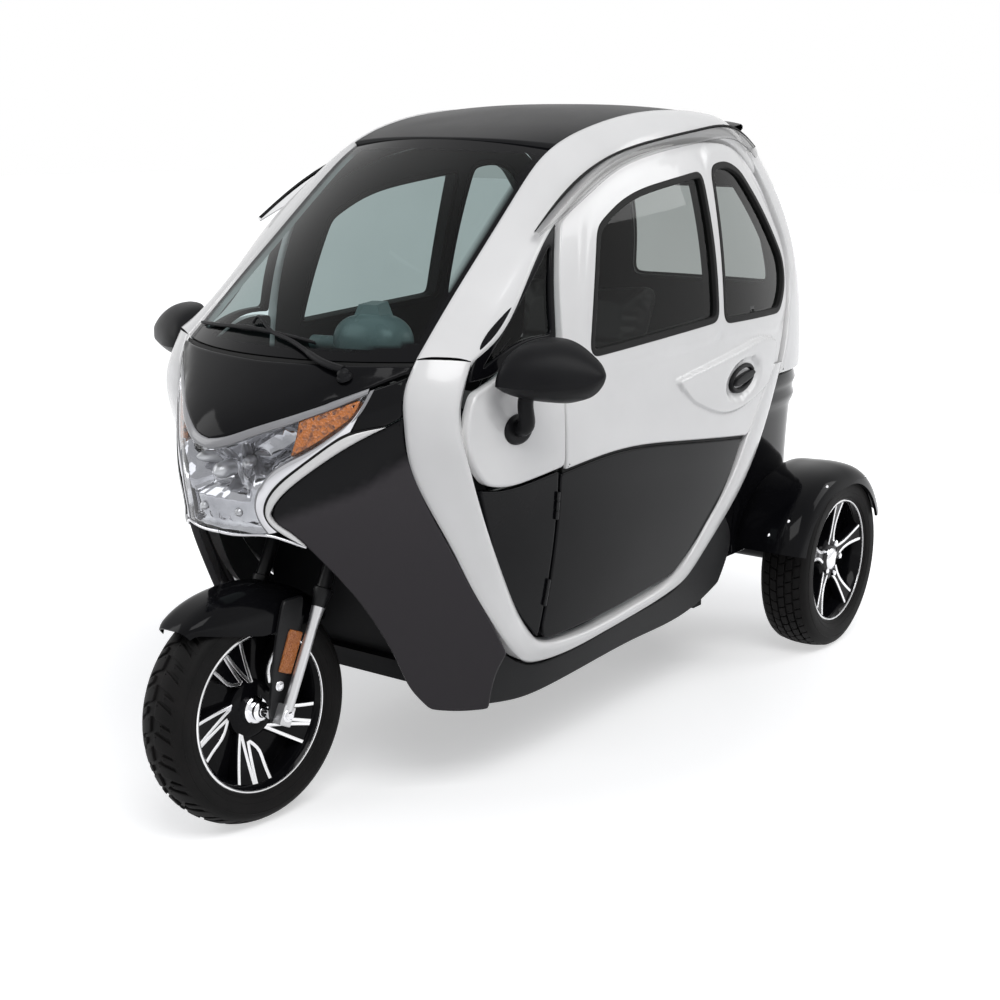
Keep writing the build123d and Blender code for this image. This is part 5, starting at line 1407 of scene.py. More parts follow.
def build_front_wheel():
    pitch = 2 * math.pi * FRONT_TYRE_R / FRONT_PITCHES
    blocks = repeated(front_blocks(on_tread(FRONT_TYRE_R, 50, 16), pitch), FRONT_PITCHES, TYRE)
    rubber = joined(carcass(FRONT_SIDE, FRONT_TYRE_R - 5, 50, 16), blocks, sidewall_rings(FRONT_SIDE))
    fitted("front_tread", moved(rubber, FRONT_HUB), TYRE, "front_wheel", "tyres", ["front_tyre"], sharp=35)
    silver, casting = spoke_group(FRONT_SPOKES, FRONT_SPOKE_BODY, 14, 22, 7.5)
    silver, casting = repeated(silver, 5, MACHINED), repeated(casting, 5, BLACK)
    well, lips = barrel(50, 50)
    hub = turned(((0, 146), (4, 60), (17, 58), (20, 52), (20, 27)), 72)
    hub = joined(hub, mirrored(hub))
    face = FRONT_HUB @ Matrix.Rotation(math.radians(FRONT_SPOKE_TURN), 4, "X")
    black = joined(well, hub, casting, mirrored(casting))
    fitted("front_casting", moved(black, face), BLACK, "front_wheel", "rims", ["front_rim"], sharp=40)
    bright = joined(silver, mirrored(silver), lips)
    fitted("front_spoke_edges", moved(bright, face), MACHINED, "front_wheel", "rims", sharp=40)
    collar = turned(((18, 29), (30, 29), (33, 26), (34, 20), (46, 20), (49, 17), (50, 12)), 48)
    fitted("front_hub_collar", moved(joined(collar, mirrored(collar)), FRONT_HUB), CHROME, "front_wheel",
           "bright_metal", sharp=35)


def sidewall_rings(side):
    """Raised rings round both sidewalls."""
    rings = []
    for at, size in ((1.6, 1.4), (2.6, 1.0), (4.4, 1.2)):
        x, r = (np.interp(at, range(len(side)), [row[k] for row in side]) for k in (0, 1))
        a = np.linspace(0, 2 * math.pi, 12)
        ring = turned(np.column_stack([x - 0.4 + size * np.cos(a), r + size * np.sin(a)]), 96)
        rings += [ring, mirrored(ring)]
    return joined(*rings)


def nut(radius, low, high, at):
    """Hexagonal nut with a domed end at a place (y, z) on a wheel's face."""
    a = np.arange(6) * math.pi / 3
    hexagon = np.stack([at[0] + radius * np.cos(a), at[1] + radius * np.sin(a)], 1)
    return prism(hexagon, low, high, radius * 0.25)


def build_rear_wheels():
    pitch = 2 * math.pi * REAR_TYRE_R / REAR_PITCHES
    blocks = repeated(rear_blocks(on_tread(REAR_TYRE_R, 56, 8), pitch), REAR_PITCHES, TYRE)
    rubber = joined(carcass(REAR_SIDE, REAR_TYRE_R - 6, 56, 8), blocks, sidewall_rings(REAR_SIDE))
    silver, casting = spoke_group(REAR_SPOKES, REAR_SPOKE_BODY, 30, 20, 8.0)
    silver, casting = repeated(silver, 5, MACHINED), repeated(casting, 5, BLACK)
    well, lips = barrel(57, 57)
    dish = turned(((8, 147), (9, 70), (28, 62), (33, 52), (33, 24)), 72)
    black = joined(well, dish, casting)
    cap = turned(((31, 30), (36, 30), (41, 26), (43.5, 18), (45, 0.5)), 48)
    lugs = repeated(nut(8.5, 30, 44, (44, 0)), 5, CHROME)
    sides = (("left", lambda shape: shape), ("right", mirrored))
    pieces = (
        ("rear_tread", rubber, TYRE, "tyres", ("rear_tyre",), 35),
        ("rear_casting", black, BLACK, "rims", ("rear_rim",), 40),
        ("rear_spoke_edges", joined(silver, lips), MACHINED, "rims", (), 40),
        ("rear_hub_cap", joined(cap, lugs), CHROME, "bright_metal", (), 35),
    )
    for side, turn in sides:
        for name, shape, finish, slot, nodes, sharp in pieces:
            placed = turn(moved(shape, REAR_HUB))
            stands_for = [f"{node}_{side}" for node in nodes]
            fitted(f"{name}_{side}", placed, finish, f"rear_wheel_{side}", slot, stands_for, sharp)


# Fork, in the straight-ahead steering frame: x, station, height

FORK_LEAN = 26.8
DAMPER_X = 93
DAMPER_FOOT = (23, 231)
PLATE_INNER = 70
PLATE_OUTER = 78
FORK_PLATE = (
    ((0, 214), (50, 214)),
    ((50, 214), (60, 250), (98, 440), (102, 458)),
    ((102, 458), (48, 458)),
    ((48, 458), (35, 420), (-2, 250)),
    ((-2, 250), (0, 214)),
)
REFLECTOR_LOOP = (
    ((22, 318), (52, 306)), ((52, 306), (90, 384)), ((90, 384), (57, 398)), ((57, 398), (22, 318)),
)
DAMPER_TUBE = ((-4, 10), (6, 11), (178, 11), (196, 11.6), (214, 13.4), (224, 14.4), (226, 13))
DAMPER_BOOT = ((222, 12), (224, 14.5), (238, 16), (256, 19.5), (262, 19.5), (264, 15))
STANCHION = ((258, 14.7), (300, 14.7), (396, 14.7))
CROWN_AT = 398
MUDGUARD_R = 259
MUDGUARD_EDGE = 160
MUDGUARD_HALF = 67
MUDGUARD_ENDS = (131.0, 39.0)
MUDGUARD_RISE = 0.22
MUDGUARD_GROWTH = 11
MUDGUARD_TIP = 24
MUDGUARD_WALL = 3.2


def steering_frame():
    return steered() @ Matrix.Translation((0, FRONT_AXLE_Y, 0))


def along_fork(distance, x=DAMPER_X):
    lean = math.radians(FORK_LEAN)
    return (x, DAMPER_FOOT[0] + distance * math.sin(lean), DAMPER_FOOT[1] + distance * math.cos(lean))


def fork_tube(profile):
    """A round piece along the fork from (distance, radius) rows."""
    return closed(tube([along_fork(d) for d, _ in profile], [r for _, r in profile], 28))


def bolt(at, radius, low, high):
    """Bolt head with its washer on the outer side of the fork."""
    washer = prism(ellipse(at, radius * 1.5, radius * 1.5), low, low + 2, 0.6)
    return joined(closed(washer), closed(nut(radius, low + 1, high, at)))


def build_fork():
    matrix = steering_frame()
    plate = closed(prism(outline(*FORK_PLATE, step=10, corner=10), PLATE_INNER, PLATE_OUTER, 2.0))
    crown_loop = boxed((-100, -16), (100, 16), corner=14)
    centre = np.array(along_fork(CROWN_AT, 0.0))
    lean = math.radians(FORK_LEAN)
    rows = []
    for rise, inset in ((-14, 3), (-11, 0), (11, 0), (14, 3)):
        loop = grown(crown_loop, -inset) if inset else crown_loop
        back = loop[:, 1] * 1.7
        rows.append(centre + np.column_stack([
            loop[:, 0],
            back * math.cos(lean) + rise * math.sin(lean),
            rise * math.cos(lean) - back * math.sin(lean),
        ]))
    black = joined(both(joined(plate, fork_tube(STANCHION), fork_tube(DAMPER_BOOT))), lofted(rows))
    fitted("fork_blades", moved(black, matrix), STEEL, "steering", "black_steel", ["fork_legs"], sharp=35)
    block = outline(
        ((-15, -22), (15, -22)), ((15, -22), (15, 20)), ((15, 20), (-15, 20)), ((-15, 20), (-15, -22)),
        step=6, corner=5,
    )
    turn = np.array([[math.cos(lean), -math.sin(lean)], [math.sin(lean), math.cos(lean)]])
    clevis = closed(prism(block @ turn + np.array(DAMPER_FOOT), PLATE_OUTER - 1, 101, 2.0))
    silver = moved(both(joined(fork_tube(DAMPER_TUBE), clevis)), matrix)
    fitted("damper_tubes", silver, SILVER, "steering", "bright_metal", ["fork_dampers"], sharp=35)
    bolts = both(joined(bolt(DAMPER_FOOT, 9, 100, 107), bolt((24, 288), 7, PLATE_OUTER - 1, 84)))
    fitted("fork_bolts", moved(bolts, matrix), CHROME, "steering", "bright_metal", sharp=30)
    lens = both(closed(prism(outline(*REFLECTOR_LOOP, step=8, corner=4), PLATE_OUTER - 1, 83, 1.5)))
    fitted("fork_reflectors", moved(lens, matrix), REFLECTOR, "steering", "amber_lens", sharp=35)


def mudguard_row(angle, inset):
    """Arch of the mudguard at an angle round the wheel, from one lower edge to the other."""
    turn = math.radians(angle)
    radius = MUDGUARD_R + MUDGUARD_GROWTH * smoothstep((angle - 90) / 40)
    lift = math.sin(turn) + MUDGUARD_RISE * min(math.cos(turn), 0.0)
    edge = min(MUDGUARD_EDGE / lift, radius - MUDGUARD_TIP)
    end = abs(angle - 85) / 46
    half = MUDGUARD_HALF * (1 - 0.38 * end**6) - inset
    a = np.linspace(0, math.pi, 27)
    x = half * np.sign(np.cos(a)) * np.abs(np.cos(a)) ** 0.62
    r = edge + (radius - inset - edge) * np.abs(np.sin(a)) ** 0.62
    return np.column_stack([x, np.cos(turn) * r, FRONT_TYRE_R + np.sin(turn) * r])


def build_mudguard():
    rows = []
    for angle in np.linspace(*MUDGUARD_ENDS, 48):
        rows.append(np.vstack([mudguard_row(angle, 0.0), mudguard_row(angle, MUDGUARD_WALL)[::-1]]))
    guard = moved(lofted(rows), steering_frame())
    fitted("mudguard_skin", guard, BLACK, "steering", "black_panels", ["front_mudguard"], sharp=40)


# Lamp group

RIBBON_OUTER = (
    (276, 824), (242, 801), (202, 768), (164, 731), (131, 693),
    (117, 669), (113, 654), (120, 640), (137, 623), (158, 594),
)
RIBBON_INNER = (
    (272, 824), (226, 811), (189, 780), (153, 743), (124, 709),
    (109, 681), (105, 660), (109, 643), (122, 625), (158, 594),
)
INDICATOR = (
    ((151, 836), (192, 855), (238, 876)), ((238, 876), (230, 848), (204, 818)),
    ((204, 818), (174, 790), (146, 770)),
    ((146, 770), (152, 804), (151, 836)),
)
# Bowls of the reflector: x, z, radius, depth and the radius of the hood over the bulb.
LAMP_BOWLS = ((0, 728, 66, 34, 17), (82, 752, 40, 26, 12), (-82, 752, 40, 26, 12))
STRIP_TOP = 684
STRIP_LAMPS = ((-50, 652), (50, 652))


def nose_line(points, depth=0.0, count=80):
    """A smooth line on the nose skin."""
    return on_nose()(run(points, count=count), depth)


def lens_outline():
    return resampled(mirrored_points(BONNET_EDGE, (BONNET_EDGE[-1], LENS_EDGE[-1]), LENS_EDGE[::-1]), 7)


def bowl_depth(p):
    """Depth of the reflector behind the lens: a rim, a middle bowl, two side bowls and the lamp strip."""
    edge = nearest(p, lens_outline())
    depth = 8 + 46 * smoothstep(edge / 26)
    for x, z, radius, deep, _ in LAMP_BOWLS:
        away = np.hypot(p[:, 0] - x, p[:, 1] - z) / radius
        depth += deep * np.clip(1 - away**2, 0, 1)
    strip_share = smoothstep((STRIP_TOP - p[:, 1]) / 10 + 0.5) * smoothstep((p[:, 1] - 622) / 8)
    flutes = 3.0 * np.abs(np.sin(p[:, 0] / 9.0))
    return depth * (1 - strip_share) + strip_share * (15 + flutes)


def build_lamps():
    edge = lens_outline()
    fitted("lamp_lens", sheet(edge, on_nose(0.0), 0.0, 14), CLEAR, "chassis", "lamp_glass", ["headlamp_lens"])
    flat, faces = filled(grown(edge, -2), [], 7)
    bowl = (on_nose()(flat, bowl_depth(flat)), faces)
    fitted("lamp_bowl", bowl, LAMP_METAL, "chassis", "lamp_chrome", ["headlamp_bowl"])
    build_bulbs()
    amber = panel(outline(*INDICATOR, corner=4), on_nose(-4.0), step=10, bevel=2, wall=14)
    fitted("indicator_facets", both(amber), AMBER, "chassis", "amber_lens", ["indicator_lenses"])
    build_lamp_trims()


def build_bulbs():
    """Hoods over the bulbs and the small lamps of the strip."""
    hoods = []
    for x, z, _, _, size in LAMP_BOWLS:
        foot = on_nose()(np.array([[x, z]], float), 74.0)[0]
        tip = on_nose()(np.array([[x, z]], float), 26.0)[0]
        t = np.linspace(0, 1, 9)[:, None]
        taper = np.array([1, 1, 1, 1, 1, 0.97, 0.85, 0.6, 0.1])
        hoods.append(tube(foot * (1 - t) + tip * t, size * taper, 20))
    for x, z in STRIP_LAMPS:
        foot = on_nose()(np.array([[x, z]], float), 22.0)[0]
        tip = on_nose()(np.array([[x, z]], float), 6.0)[0]
        t = np.linspace(0, 1, 6)[:, None]
        hoods.append(tube(foot * (1 - t) + tip * t, 9 * np.array([1, 1, 1, 0.9, 0.6, 0.1]), 16))
    fitted("lamp_hoods", joined(*hoods), CAST, "chassis", "lamp_chrome", sharp=40)


def build_lamp_trims():
    ahead = np.tile([0.3, -1.0, 0.2], (80, 1))
    white = band(nose_line(RIBBON_OUTER, -2), nose_line(RIBBON_INNER, -2), ahead, crown=4, wall=14)
    fitted("lamp_ribbons", both(white), WHITE, "chassis", "white_panels", ["headlamp_trims"])
    chrome = band(nose_line(RIBBON_INNER[::-1][1:-1]), nose_line(LENS_EDGE[2:]), ahead, crown=3, wall=10)
    foot = tube(nose_line(((0, 613), (60, 614), (104, 616), (130, 607), (158, 592)), -1.0, 40), 3.2, 8)
    fitted("lamp_bright_edges", both(joined(chrome, foot)), BRIGHT, "chassis", "bright_metal")
    seam = tube(nose_line(RIBBON_INNER[:-1], -2.5), 2.0, 8)
    fitted("lamp_seams", both(seam), RUBBER, "chassis", "black_plastic")
    # Clear lens edges along the bonnet and below the lens, drawn opaque light grey as a painted sheen.
    top = np.array(BONNET_EDGE, float)
    below = top - np.array([[0, 17], [-4, 16], [-5, 14], [-5, 13], [-4, 12], [0, 10]])
    lid = band(nose_line(top, -1.5), nose_line(below, -1.5), ahead, crown=2, wall=8)
    low = np.array(LENS_EDGE[2:], float)
    lower = band(nose_line(low, -1.0), nose_line(low + (6, 3), -1.0), ahead, crown=1, wall=6)
    fitted("lens_edges_painted_sheen", both(joined(lid, lower)), LENS_EDGE_PAINTED_SHEEN, "chassis", "lamp_glass")


# Tail, fenders and roof pieces

TAIL_LOWER_FRONT = ((1420, 300), (1420, 420), (1440, 600), (1500, 740), (1516, 762))
FENDER_INNER = 322
FENDER_OUTER = 520
FENDER_END = 25
FENDER_FOOT = 166
# Screw heads on a guard: angle round the wheel and x.
FENDER_SCREWS = ((150, 470), (120, 508), (60, 508), (32, 505), (158, 430))
# Half width and squareness of the corners at heights of the lower tail.
TAIL_LOWER_HALF = ((262, 345), (480, 345), (742, 392))
TAIL_LOWER_CORNER = ((480, 5.5), (742, 3.4))


def tail_lower_half(z):
    """Half width of the lower tail, which tucks in below the belt."""
    return through(*zip(*TAIL_LOWER_HALF), z)


def tail_lower_corner(z):
    return np.interp(z, *zip(*TAIL_LOWER_CORNER))


def build_tail_lower():
    """Black tail below the belt, with the rolled ribs under it."""
    def surface(p):
        z = p[:, 1]
        base = tail_form(p, tail_lower_half(z), through(TAIL_HEIGHTS, TAIL_END, z) - 4, tail_lower_corner(z))
        roll = 12 * np.exp(-((z - 735) / 16) ** 2) + 12 * np.exp(-((z - 690) / 18) ** 2)
        out = np.column_stack([base[:, 0], base[:, 1] - TAIL_START + 200, np.zeros(len(p))])
        out /= np.linalg.norm(out, axis=1)[:, None]
        return base + out * roll[:, None]
    line = run(TAIL_LOWER_FRONT, 8)
    front = tail_points(line, tail_lower_corner(line[:, 1]))
    edge = round_the_back(front, np.empty((0, 2)))
    shape = panel(edge, skin(surface, (0, 1, 0)), step=16, bevel=4, wall=18)

    def flank(p):
        return np.column_stack([tail_lower_half(p[:, 1]) - 1, p])
    wing = panel(outline(
        ((1428, 300), (1330, 300)), ((1330, 300), (1250, 420)), ((1250, 420), (1452, 650)),
        ((1452, 650), (1428, 300)), corner=3,
    ), skin(flank, (1, 0, 0)), step=18, bevel=3, wall=14)
    shape = joined(shape, both(wing))
    fitted("tail_skin_lower", shape, BLACK, "chassis", "black_panels", ["tail_lower"])


def fender_reach(angle):
    """How much further the guard stands off the tyre towards its front end."""
    return 62 * smoothstep((angle - 92) / 74)


def build_fenders():
    """Rounded guards over the rear wheels."""
    section = (
        (FENDER_INNER, 226), (FENDER_INNER, 244), (334, 255), (380, 263), (430, 265), (470, 262), (500, 252),
        (514, 238), (519, 224), (FENDER_OUTER, 210), (516, 210), (512, 224), (500, 240), (470, 254),
        (430, 258), (340, 250), (326, 240), (326, 226),
    )
    rows = run(section, count=48)
    angles = np.linspace(FENDER_END, FENDER_FOOT, 64)
    reach = rows[None, :, 1] + fender_reach(angles)[:, None]
    turn = np.radians(angles)[:, None]
    points = np.empty((len(angles), len(rows), 3))
    points[..., 0] = rows[:, 0]
    points[..., 1] = WHEELBASE + np.cos(turn) * reach
    points[..., 2] = REAR_TYRE_R + np.sin(turn) * reach
    fitted("fender_skins", both(lofted(points)), BLACK, "chassis", "black_panels", ["rear_fenders"], sharp=50)
    heads = []
    for angle, x in FENDER_SCREWS:
        r = np.interp(x, rows[:28, 0], rows[:28, 1]) + fender_reach(angle)
        a = math.radians(angle)
        middle = np.array([x, WHEELBASE + math.cos(a) * r, REAR_TYRE_R + math.sin(a) * r])
        out = np.array([0.35 if x > 500 else 0.0, math.cos(a), math.sin(a)])
        t = np.linspace(0, 1, 5)[:, None]
        heads.append(tube(middle + out * (t * 4 - 1), np.array([5, 5, 4.6, 3.4, 0.3]), 14))
    fitted("fender_screws", both(joined(*heads)), CHROME, "chassis", "bright_metal")


VISOR = (
    (459, 1176), (571, 1244), (736, 1311), (955, 1351),
    (1208, 1378), (1414, 1376), (1500, 1345), (1524, 1333),
)
VISOR_LOW = (
    (466, 1168), (590, 1215), (760, 1283), (965, 1325),
    (1208, 1349), (1400, 1346), (1478, 1318), (1500, 1306),
)


def build_visors():
    """Clear rain deflectors over the doors, with the dark strip that holds them."""
    top, low = (run(points, count=110) for points in (VISOR, VISOR_LOW))
    upper = on_side(3.0)(top)
    lower = on_side(12.0)(low)
    strip_low = upper * 0.86 + lower * 0.14 + np.array([2.0, 0, 0])
    out = np.tile([1.0, 0.0, 0.3], (len(top), 1))
    clear = band(strip_low, lower, out, crown=4, wall=1.5, cuts=6)
    fitted("visor_blades", both(clear), ACRYLIC, "chassis", "visor_acrylic", ["rain_visors"])
    dark = band(upper + np.array([2.0, 0, 0]), strip_low, out, crown=2, wall=4, cuts=5)
    fitted("visor_strips", both(dark), RUBBER, "chassis", "black_plastic")


MIRROR_STATIONS = (
    # x, front and back station, top and bottom height
    (418, 272, 318, 918, 892),
    (424, 256, 334, 946, 877),
    (438, 251, 348, 972, 867),
    (460, 255, 360, 983, 861),
    (486, 265, 366, 986, 859),
    (513, 279, 368, 985, 860),
    (545, 298, 369, 975, 868),
    (575, 319, 368, 957, 881),
    (594, 336, 366, 942, 899),
    (604, 346, 361, 931, 913),
    (607, 351, 358, 927, 919),
)
MIRROR_BASE = (352, 800)
MIRROR_NECK = (450, 322, 866)
MIRROR_CREASE = 0.3


def mirror_loop(row):
    """Section of a mirror pod: a domed upper face, a crease, a flat lower face, and flat at the glass."""
    x, front, back, top, bottom = row
    crease = bottom + (top - bottom) * MIRROR_CREASE
    b = np.linspace(0, math.pi / 2, 16)
    upper = np.column_stack([
        np.full(16, x), back - (back - front) * np.cos(b) ** 0.85, crease + (top - crease) * np.sin(b) ** 0.9,
    ])
    w = np.linspace(0, 1, 9)[:-1]
    sag = 0.16 * np.sin(w * math.pi)
    lower = np.column_stack([
        np.full(8, x), back - (back - front) * np.clip(w + sag * 0.6, 0, 1),
        bottom + (crease - bottom) * np.clip(w - sag, 0, 1),
    ])
    behind = np.column_stack([np.full(6, x), np.full(6, back + 2.0), np.linspace(top - 3, bottom + 3, 6)])
    return np.vstack([lower, upper, behind])


def build_mirrors():
    fine = run(np.array(MIRROR_STATIONS, float), count=44)
    loops = np.array([mirror_loop(row) for row in fine])
    foot = on_side()(np.array([MIRROR_BASE], float), 2.0)[0]
    neck = np.array(MIRROR_NECK, float)
    bend = foot + (34, -14, 14)
    stalk = tube(run([foot, bend, neck, neck + (8, 4, 24)], count=18), np.linspace(17, 15, 18), 20)
    base = panel(ellipse(MIRROR_BASE, 42, 31), on_side(9.0), step=10, bevel=7, wall=18)
    pods = joined(lofted(loops), closed(stalk), base)
    fitted("mirror_pods", both(pods), SATIN, "chassis", "black_plastic", ["mirrors"], sharp=48)
    glass = []
    for x, _, back, top, bottom in fine[8:-6]:
        for share in (0.08, 0.92):
            glass.append((x, back + 2.6, bottom + (top - bottom) * share))
    pane = outwards(grid(np.array(glass).reshape(-1, 2, 3)), (500, 0, 920))
    fitted("mirror_glass", both(pane), CHROME, "chassis", "bright_metal")


SPOILER_FRONT = 1480
SPOILER_BACK = 1660
SPOILER_BOW = 96
SPOILER_HALF = 255
SPOILER_SECTION = (
    # share of the reach and height
    (0.0, 1378), (0.45, 1392), (0.9, 1398), (1.0, 1394), (1.0, 1387), (0.9, 1382), (0.4, 1374), (0.0, 1364),
)


def build_spoiler():
    """Lip over the rear window."""
    u = np.linspace(-1, 1, 41)
    back = SPOILER_BACK - SPOILER_BOW * np.abs(u) ** 2.4
    rows = []
    for along, z in SPOILER_SECTION:
        s = SPOILER_FRONT + (back - SPOILER_FRONT) * along
        rows.append(np.column_stack([u * SPOILER_HALF, s, np.full(len(u), z) - 12 * np.abs(u) ** 3]))
    points, faces = grid(np.array(rows), closed_u=True)
    fitted("spoiler_lip", closed((points, faces)), SATIN, "chassis", "black_plastic", ["roof_spoiler"])


# Seats: padded by a cloth simulation inside the space of their CAD solids

SEAT_VOXEL = 0.006
SEAT_FRAMES = 20
SEAT_PRESSURE = 4.0
SEAT_SHRINK = 0.010
SEAT_CAP = 0.022
CHANNEL_DEPTH = 0.006
CHANNEL_SOFT = 0.007
# node, fill, places of the sewn channels as shares of the pad's length, and the axis of that length
SEATS = (
    ("driver_cushion", 0.75, (0.30, 0.56, 0.82), 1),
    ("driver_back", 0.7, (0.26, 0.46, 0.66), 2),
    ("bench_cushion", 0.75, (0.36, 0.70), 1),
    ("bench_back", 0.7, (0.33, 0.66), 2),
)


def evaluated(obj):
    """The mesh of an object with its modifiers, as a new mesh."""
    graph = bpy.context.evaluated_depsgraph_get()
    return bpy.data.meshes.new_from_object(obj.evaluated_get(graph))


def vertex_table(mesh):
    flat = np.empty(len(mesh.vertices) * 3)
    mesh.vertices.foreach_get("co", flat)
    return flat.reshape(-1, 3)


def settled(obj):
    """Runs the cloth on a pad and returns where its points end, within the cap."""
    cloth = obj.modifiers.new("padding", "CLOTH")
    cloth.settings.use_pressure = True
    cloth.settings.uniform_pressure_force = SEAT_PRESSURE
    cloth.settings.effector_weights.gravity = 0
    cloth.settings.quality = 4
    start = vertex_table(obj.data)
    scene = bpy.context.scene
    for step in range(1, SEAT_FRAMES + 1):
        scene.frame_set(step)
    swollen = evaluated(obj)
    end = vertex_table(swollen)
    bpy.data.meshes.remove(swollen)
    obj.modifiers.remove(cloth)
    scene.frame_set(1)
    shift = end - start
    far = np.linalg.norm(shift, axis=1, keepdims=True)
    return start + shift * np.minimum(1.0, SEAT_CAP / (far + 1e-9))


def sewn(place, low, high, channels, axis):
    """Sewn channels across a pad and a pulled-in seam round its edge."""
    centre = (low + high) / 2
    along = (place[:, axis] - low[axis]) / (high[axis] - low[axis])
    thin = 2 if axis == 1 else 1
    depth = np.zeros(len(place))
    for channel in channels:
        gap = (along - channel) * (high[axis] - low[axis])
        depth = np.maximum(depth, CHANNEL_DEPTH * np.exp(-(gap / CHANNEL_SOFT) ** 2))
    inset = 1 - np.abs(place[:, 0] - centre[0]) / ((high[0] - low[0]) / 2)
    depth *= smoothstep(inset / 0.16)
    side = np.sign(place[:, thin] - centre[thin])
    result = place.copy()
    result[:, thin] -= side * depth
    return result


def build_seats():
    for node, fill, channels, axis in SEATS:
        source = frame["nodes"][node].data.copy()
        pad_obj = bpy.data.objects.new(f"{node}_pad", source)
        bpy.context.scene.collection.objects.link(pad_obj)
        place = vertex_table(source)
        low, high = place.min(0), place.max(0)
        centre = (low + high) / 2
        place = centre + (place - centre) * (1 - 2 * SEAT_SHRINK / (high - low))
        source.vertices.foreach_set("co", place.reshape(-1))
        remesh = pad_obj.modifiers.new("even", "REMESH")
        remesh.mode = "VOXEL"
        remesh.voxel_size = SEAT_VOXEL
        pad_obj.data = evaluated(pad_obj)
        pad_obj.modifiers.clear()
        place = settled(pad_obj)
        place = np.clip(place, low, high)
        pad_obj.data.vertices.foreach_set("co", sewn(place, low, high, channels, axis).reshape(-1))
        pad_obj.data.update()
        finer = pad_obj.modifiers.new("finer", "SUBSURF")
        finer.levels = 1
        pad_obj.data = evaluated(pad_obj)
        pad_obj.modifiers.clear()
        pad_obj.data.name = f"{node}_pad"
        pad_obj.data.polygons.foreach_set("use_smooth", [True] * len(pad_obj.data.polygons))
        pad_obj.data.materials.clear()
        pad_obj.data.materials.append(LEATHER)
        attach(pad_obj, "chassis")
        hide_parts(node)


# Instrument cowl on the handlebar

COWL_MIDDLE = (0, 404, 934)
COWL_HALF = (94, 64, 58)
COWL_HOOD = ((-44, 386), (-36, 436), (36, 436), (44, 386))


def dome(middle, half):
    """Rounded cowl with a broad top, closed below."""
    rise = np.linspace(-0.06, 0.5, 17) * math.pi
    turn = np.linspace(0, 2 * math.pi, 40, endpoint=False)
    ring = np.stack([np.cos(turn), np.sin(turn), np.zeros(40)], 1)
    ring[:, :2] = np.sign(ring[:, :2]) * np.abs(ring[:, :2]) ** 0.8
    rows = np.array([ring * max(math.cos(r), 0.01) ** 0.7 + (0, 0, math.sin(r)) for r in rise])
    return lofted(rows * half + middle)


def build_cowling():
    """Instrument cowl: a broad dome and a faceted hood, turned with the bars."""
    foot = np.array([(x, s, 975) for x, s in COWL_HOOD], float)
    top = np.array([(x * 0.62, s * 0.75 + 103, 1014 + (s - 411) * 0.1) for x, s in COWL_HOOD], float)
    hood = (np.vstack([foot, top]), [
        (0, 1, 5, 4), (1, 2, 6, 5), (2, 3, 7, 6), (3, 0, 4, 7), (4, 5, 6, 7), (3, 2, 1, 0),
    ])
    points, faces = joined(dome(np.array(COWL_MIDDLE, float), np.array(COWL_HALF, float)), closed(hood))
    shape = moved((points + (0, FRONT_AXLE_Y, 0), faces), steered())
    fitted("instrument_cowl", shape, POD, "steering", "black_plastic", ["instrument_pod"], sharp=40)


# Finishes of the CAD nodes that show as they are

NODE_FINISH = {
    "floor_pan": SATIN,
    "front_bulkhead": SATIN,
    "seat_plinth": SATIN,
    "battery_pack": SATIN,
    "steering_head": STEEL,
    "steering_column": STEEL,
    "rear_axle": STEEL,
    "rear_springs": STEEL,
    "front_axle": CHROME,
    "brake_disc": MACHINED,
    "brake_caliper": CAST,
    "handlebar": POD,
}


def finish_nodes():
    for name, material in NODE_FINISH.items():
        mesh = frame["nodes"][name].data
        mesh.materials.clear()
        mesh.materials.append(material)


# Floor, light and camera

CAMERA_PLACE = (2.18814, -3.09826, 1.38968)
CAMERA_TURN = (35.3037, 13.2072, 0.4762)
CAMERA_LENS = 58.19


def build_camera():
    azimuth, height, roll = (math.radians(a) for a in CAMERA_TURN)
    level = math.cos(height)
    back = Vector((math.sin(azimuth) * level, -math.cos(azimuth) * level, math.sin(height)))
    right = (-back).cross(Vector((0, 0, 1))).normalized()
    up = right.cross(-back)
    right, up = math.cos(roll) * right + math.sin(roll) * up, math.cos(roll) * up - math.sin(roll) * right
    data = bpy.data.cameras.new("camera")
    data.sensor_width = 36
    data.lens = CAMERA_LENS
    data.clip_end = 60
    camera = bpy.data.objects.new("camera", data)
    camera.matrix_world = Matrix((
        (right.x, up.x, back.x, CAMERA_PLACE[0]), (right.y, up.y, back.y, CAMERA_PLACE[1]),
        (right.z, up.z, back.z, CAMERA_PLACE[2]), (0, 0, 0, 1),
    ))
    bpy.context.scene.collection.objects.link(camera)
    bpy.context.scene.camera = camera


def seen_ray(nodes, links):
    """1 for rays that show the backdrop: straight from the camera, off a gloss or through glass."""
    path = nodes.new("ShaderNodeLightPath")
    shown = path.outputs["Is Camera Ray"]
    for kind in ("Is Glossy Ray", "Is Transmission Ray"):
        either = nodes.new("ShaderNodeMath")
        either.operation = "MAXIMUM"
        links.new(shown, either.inputs[0])
        links.new(path.outputs[kind], either.inputs[1])
        shown = either.outputs["Value"]
    return shown


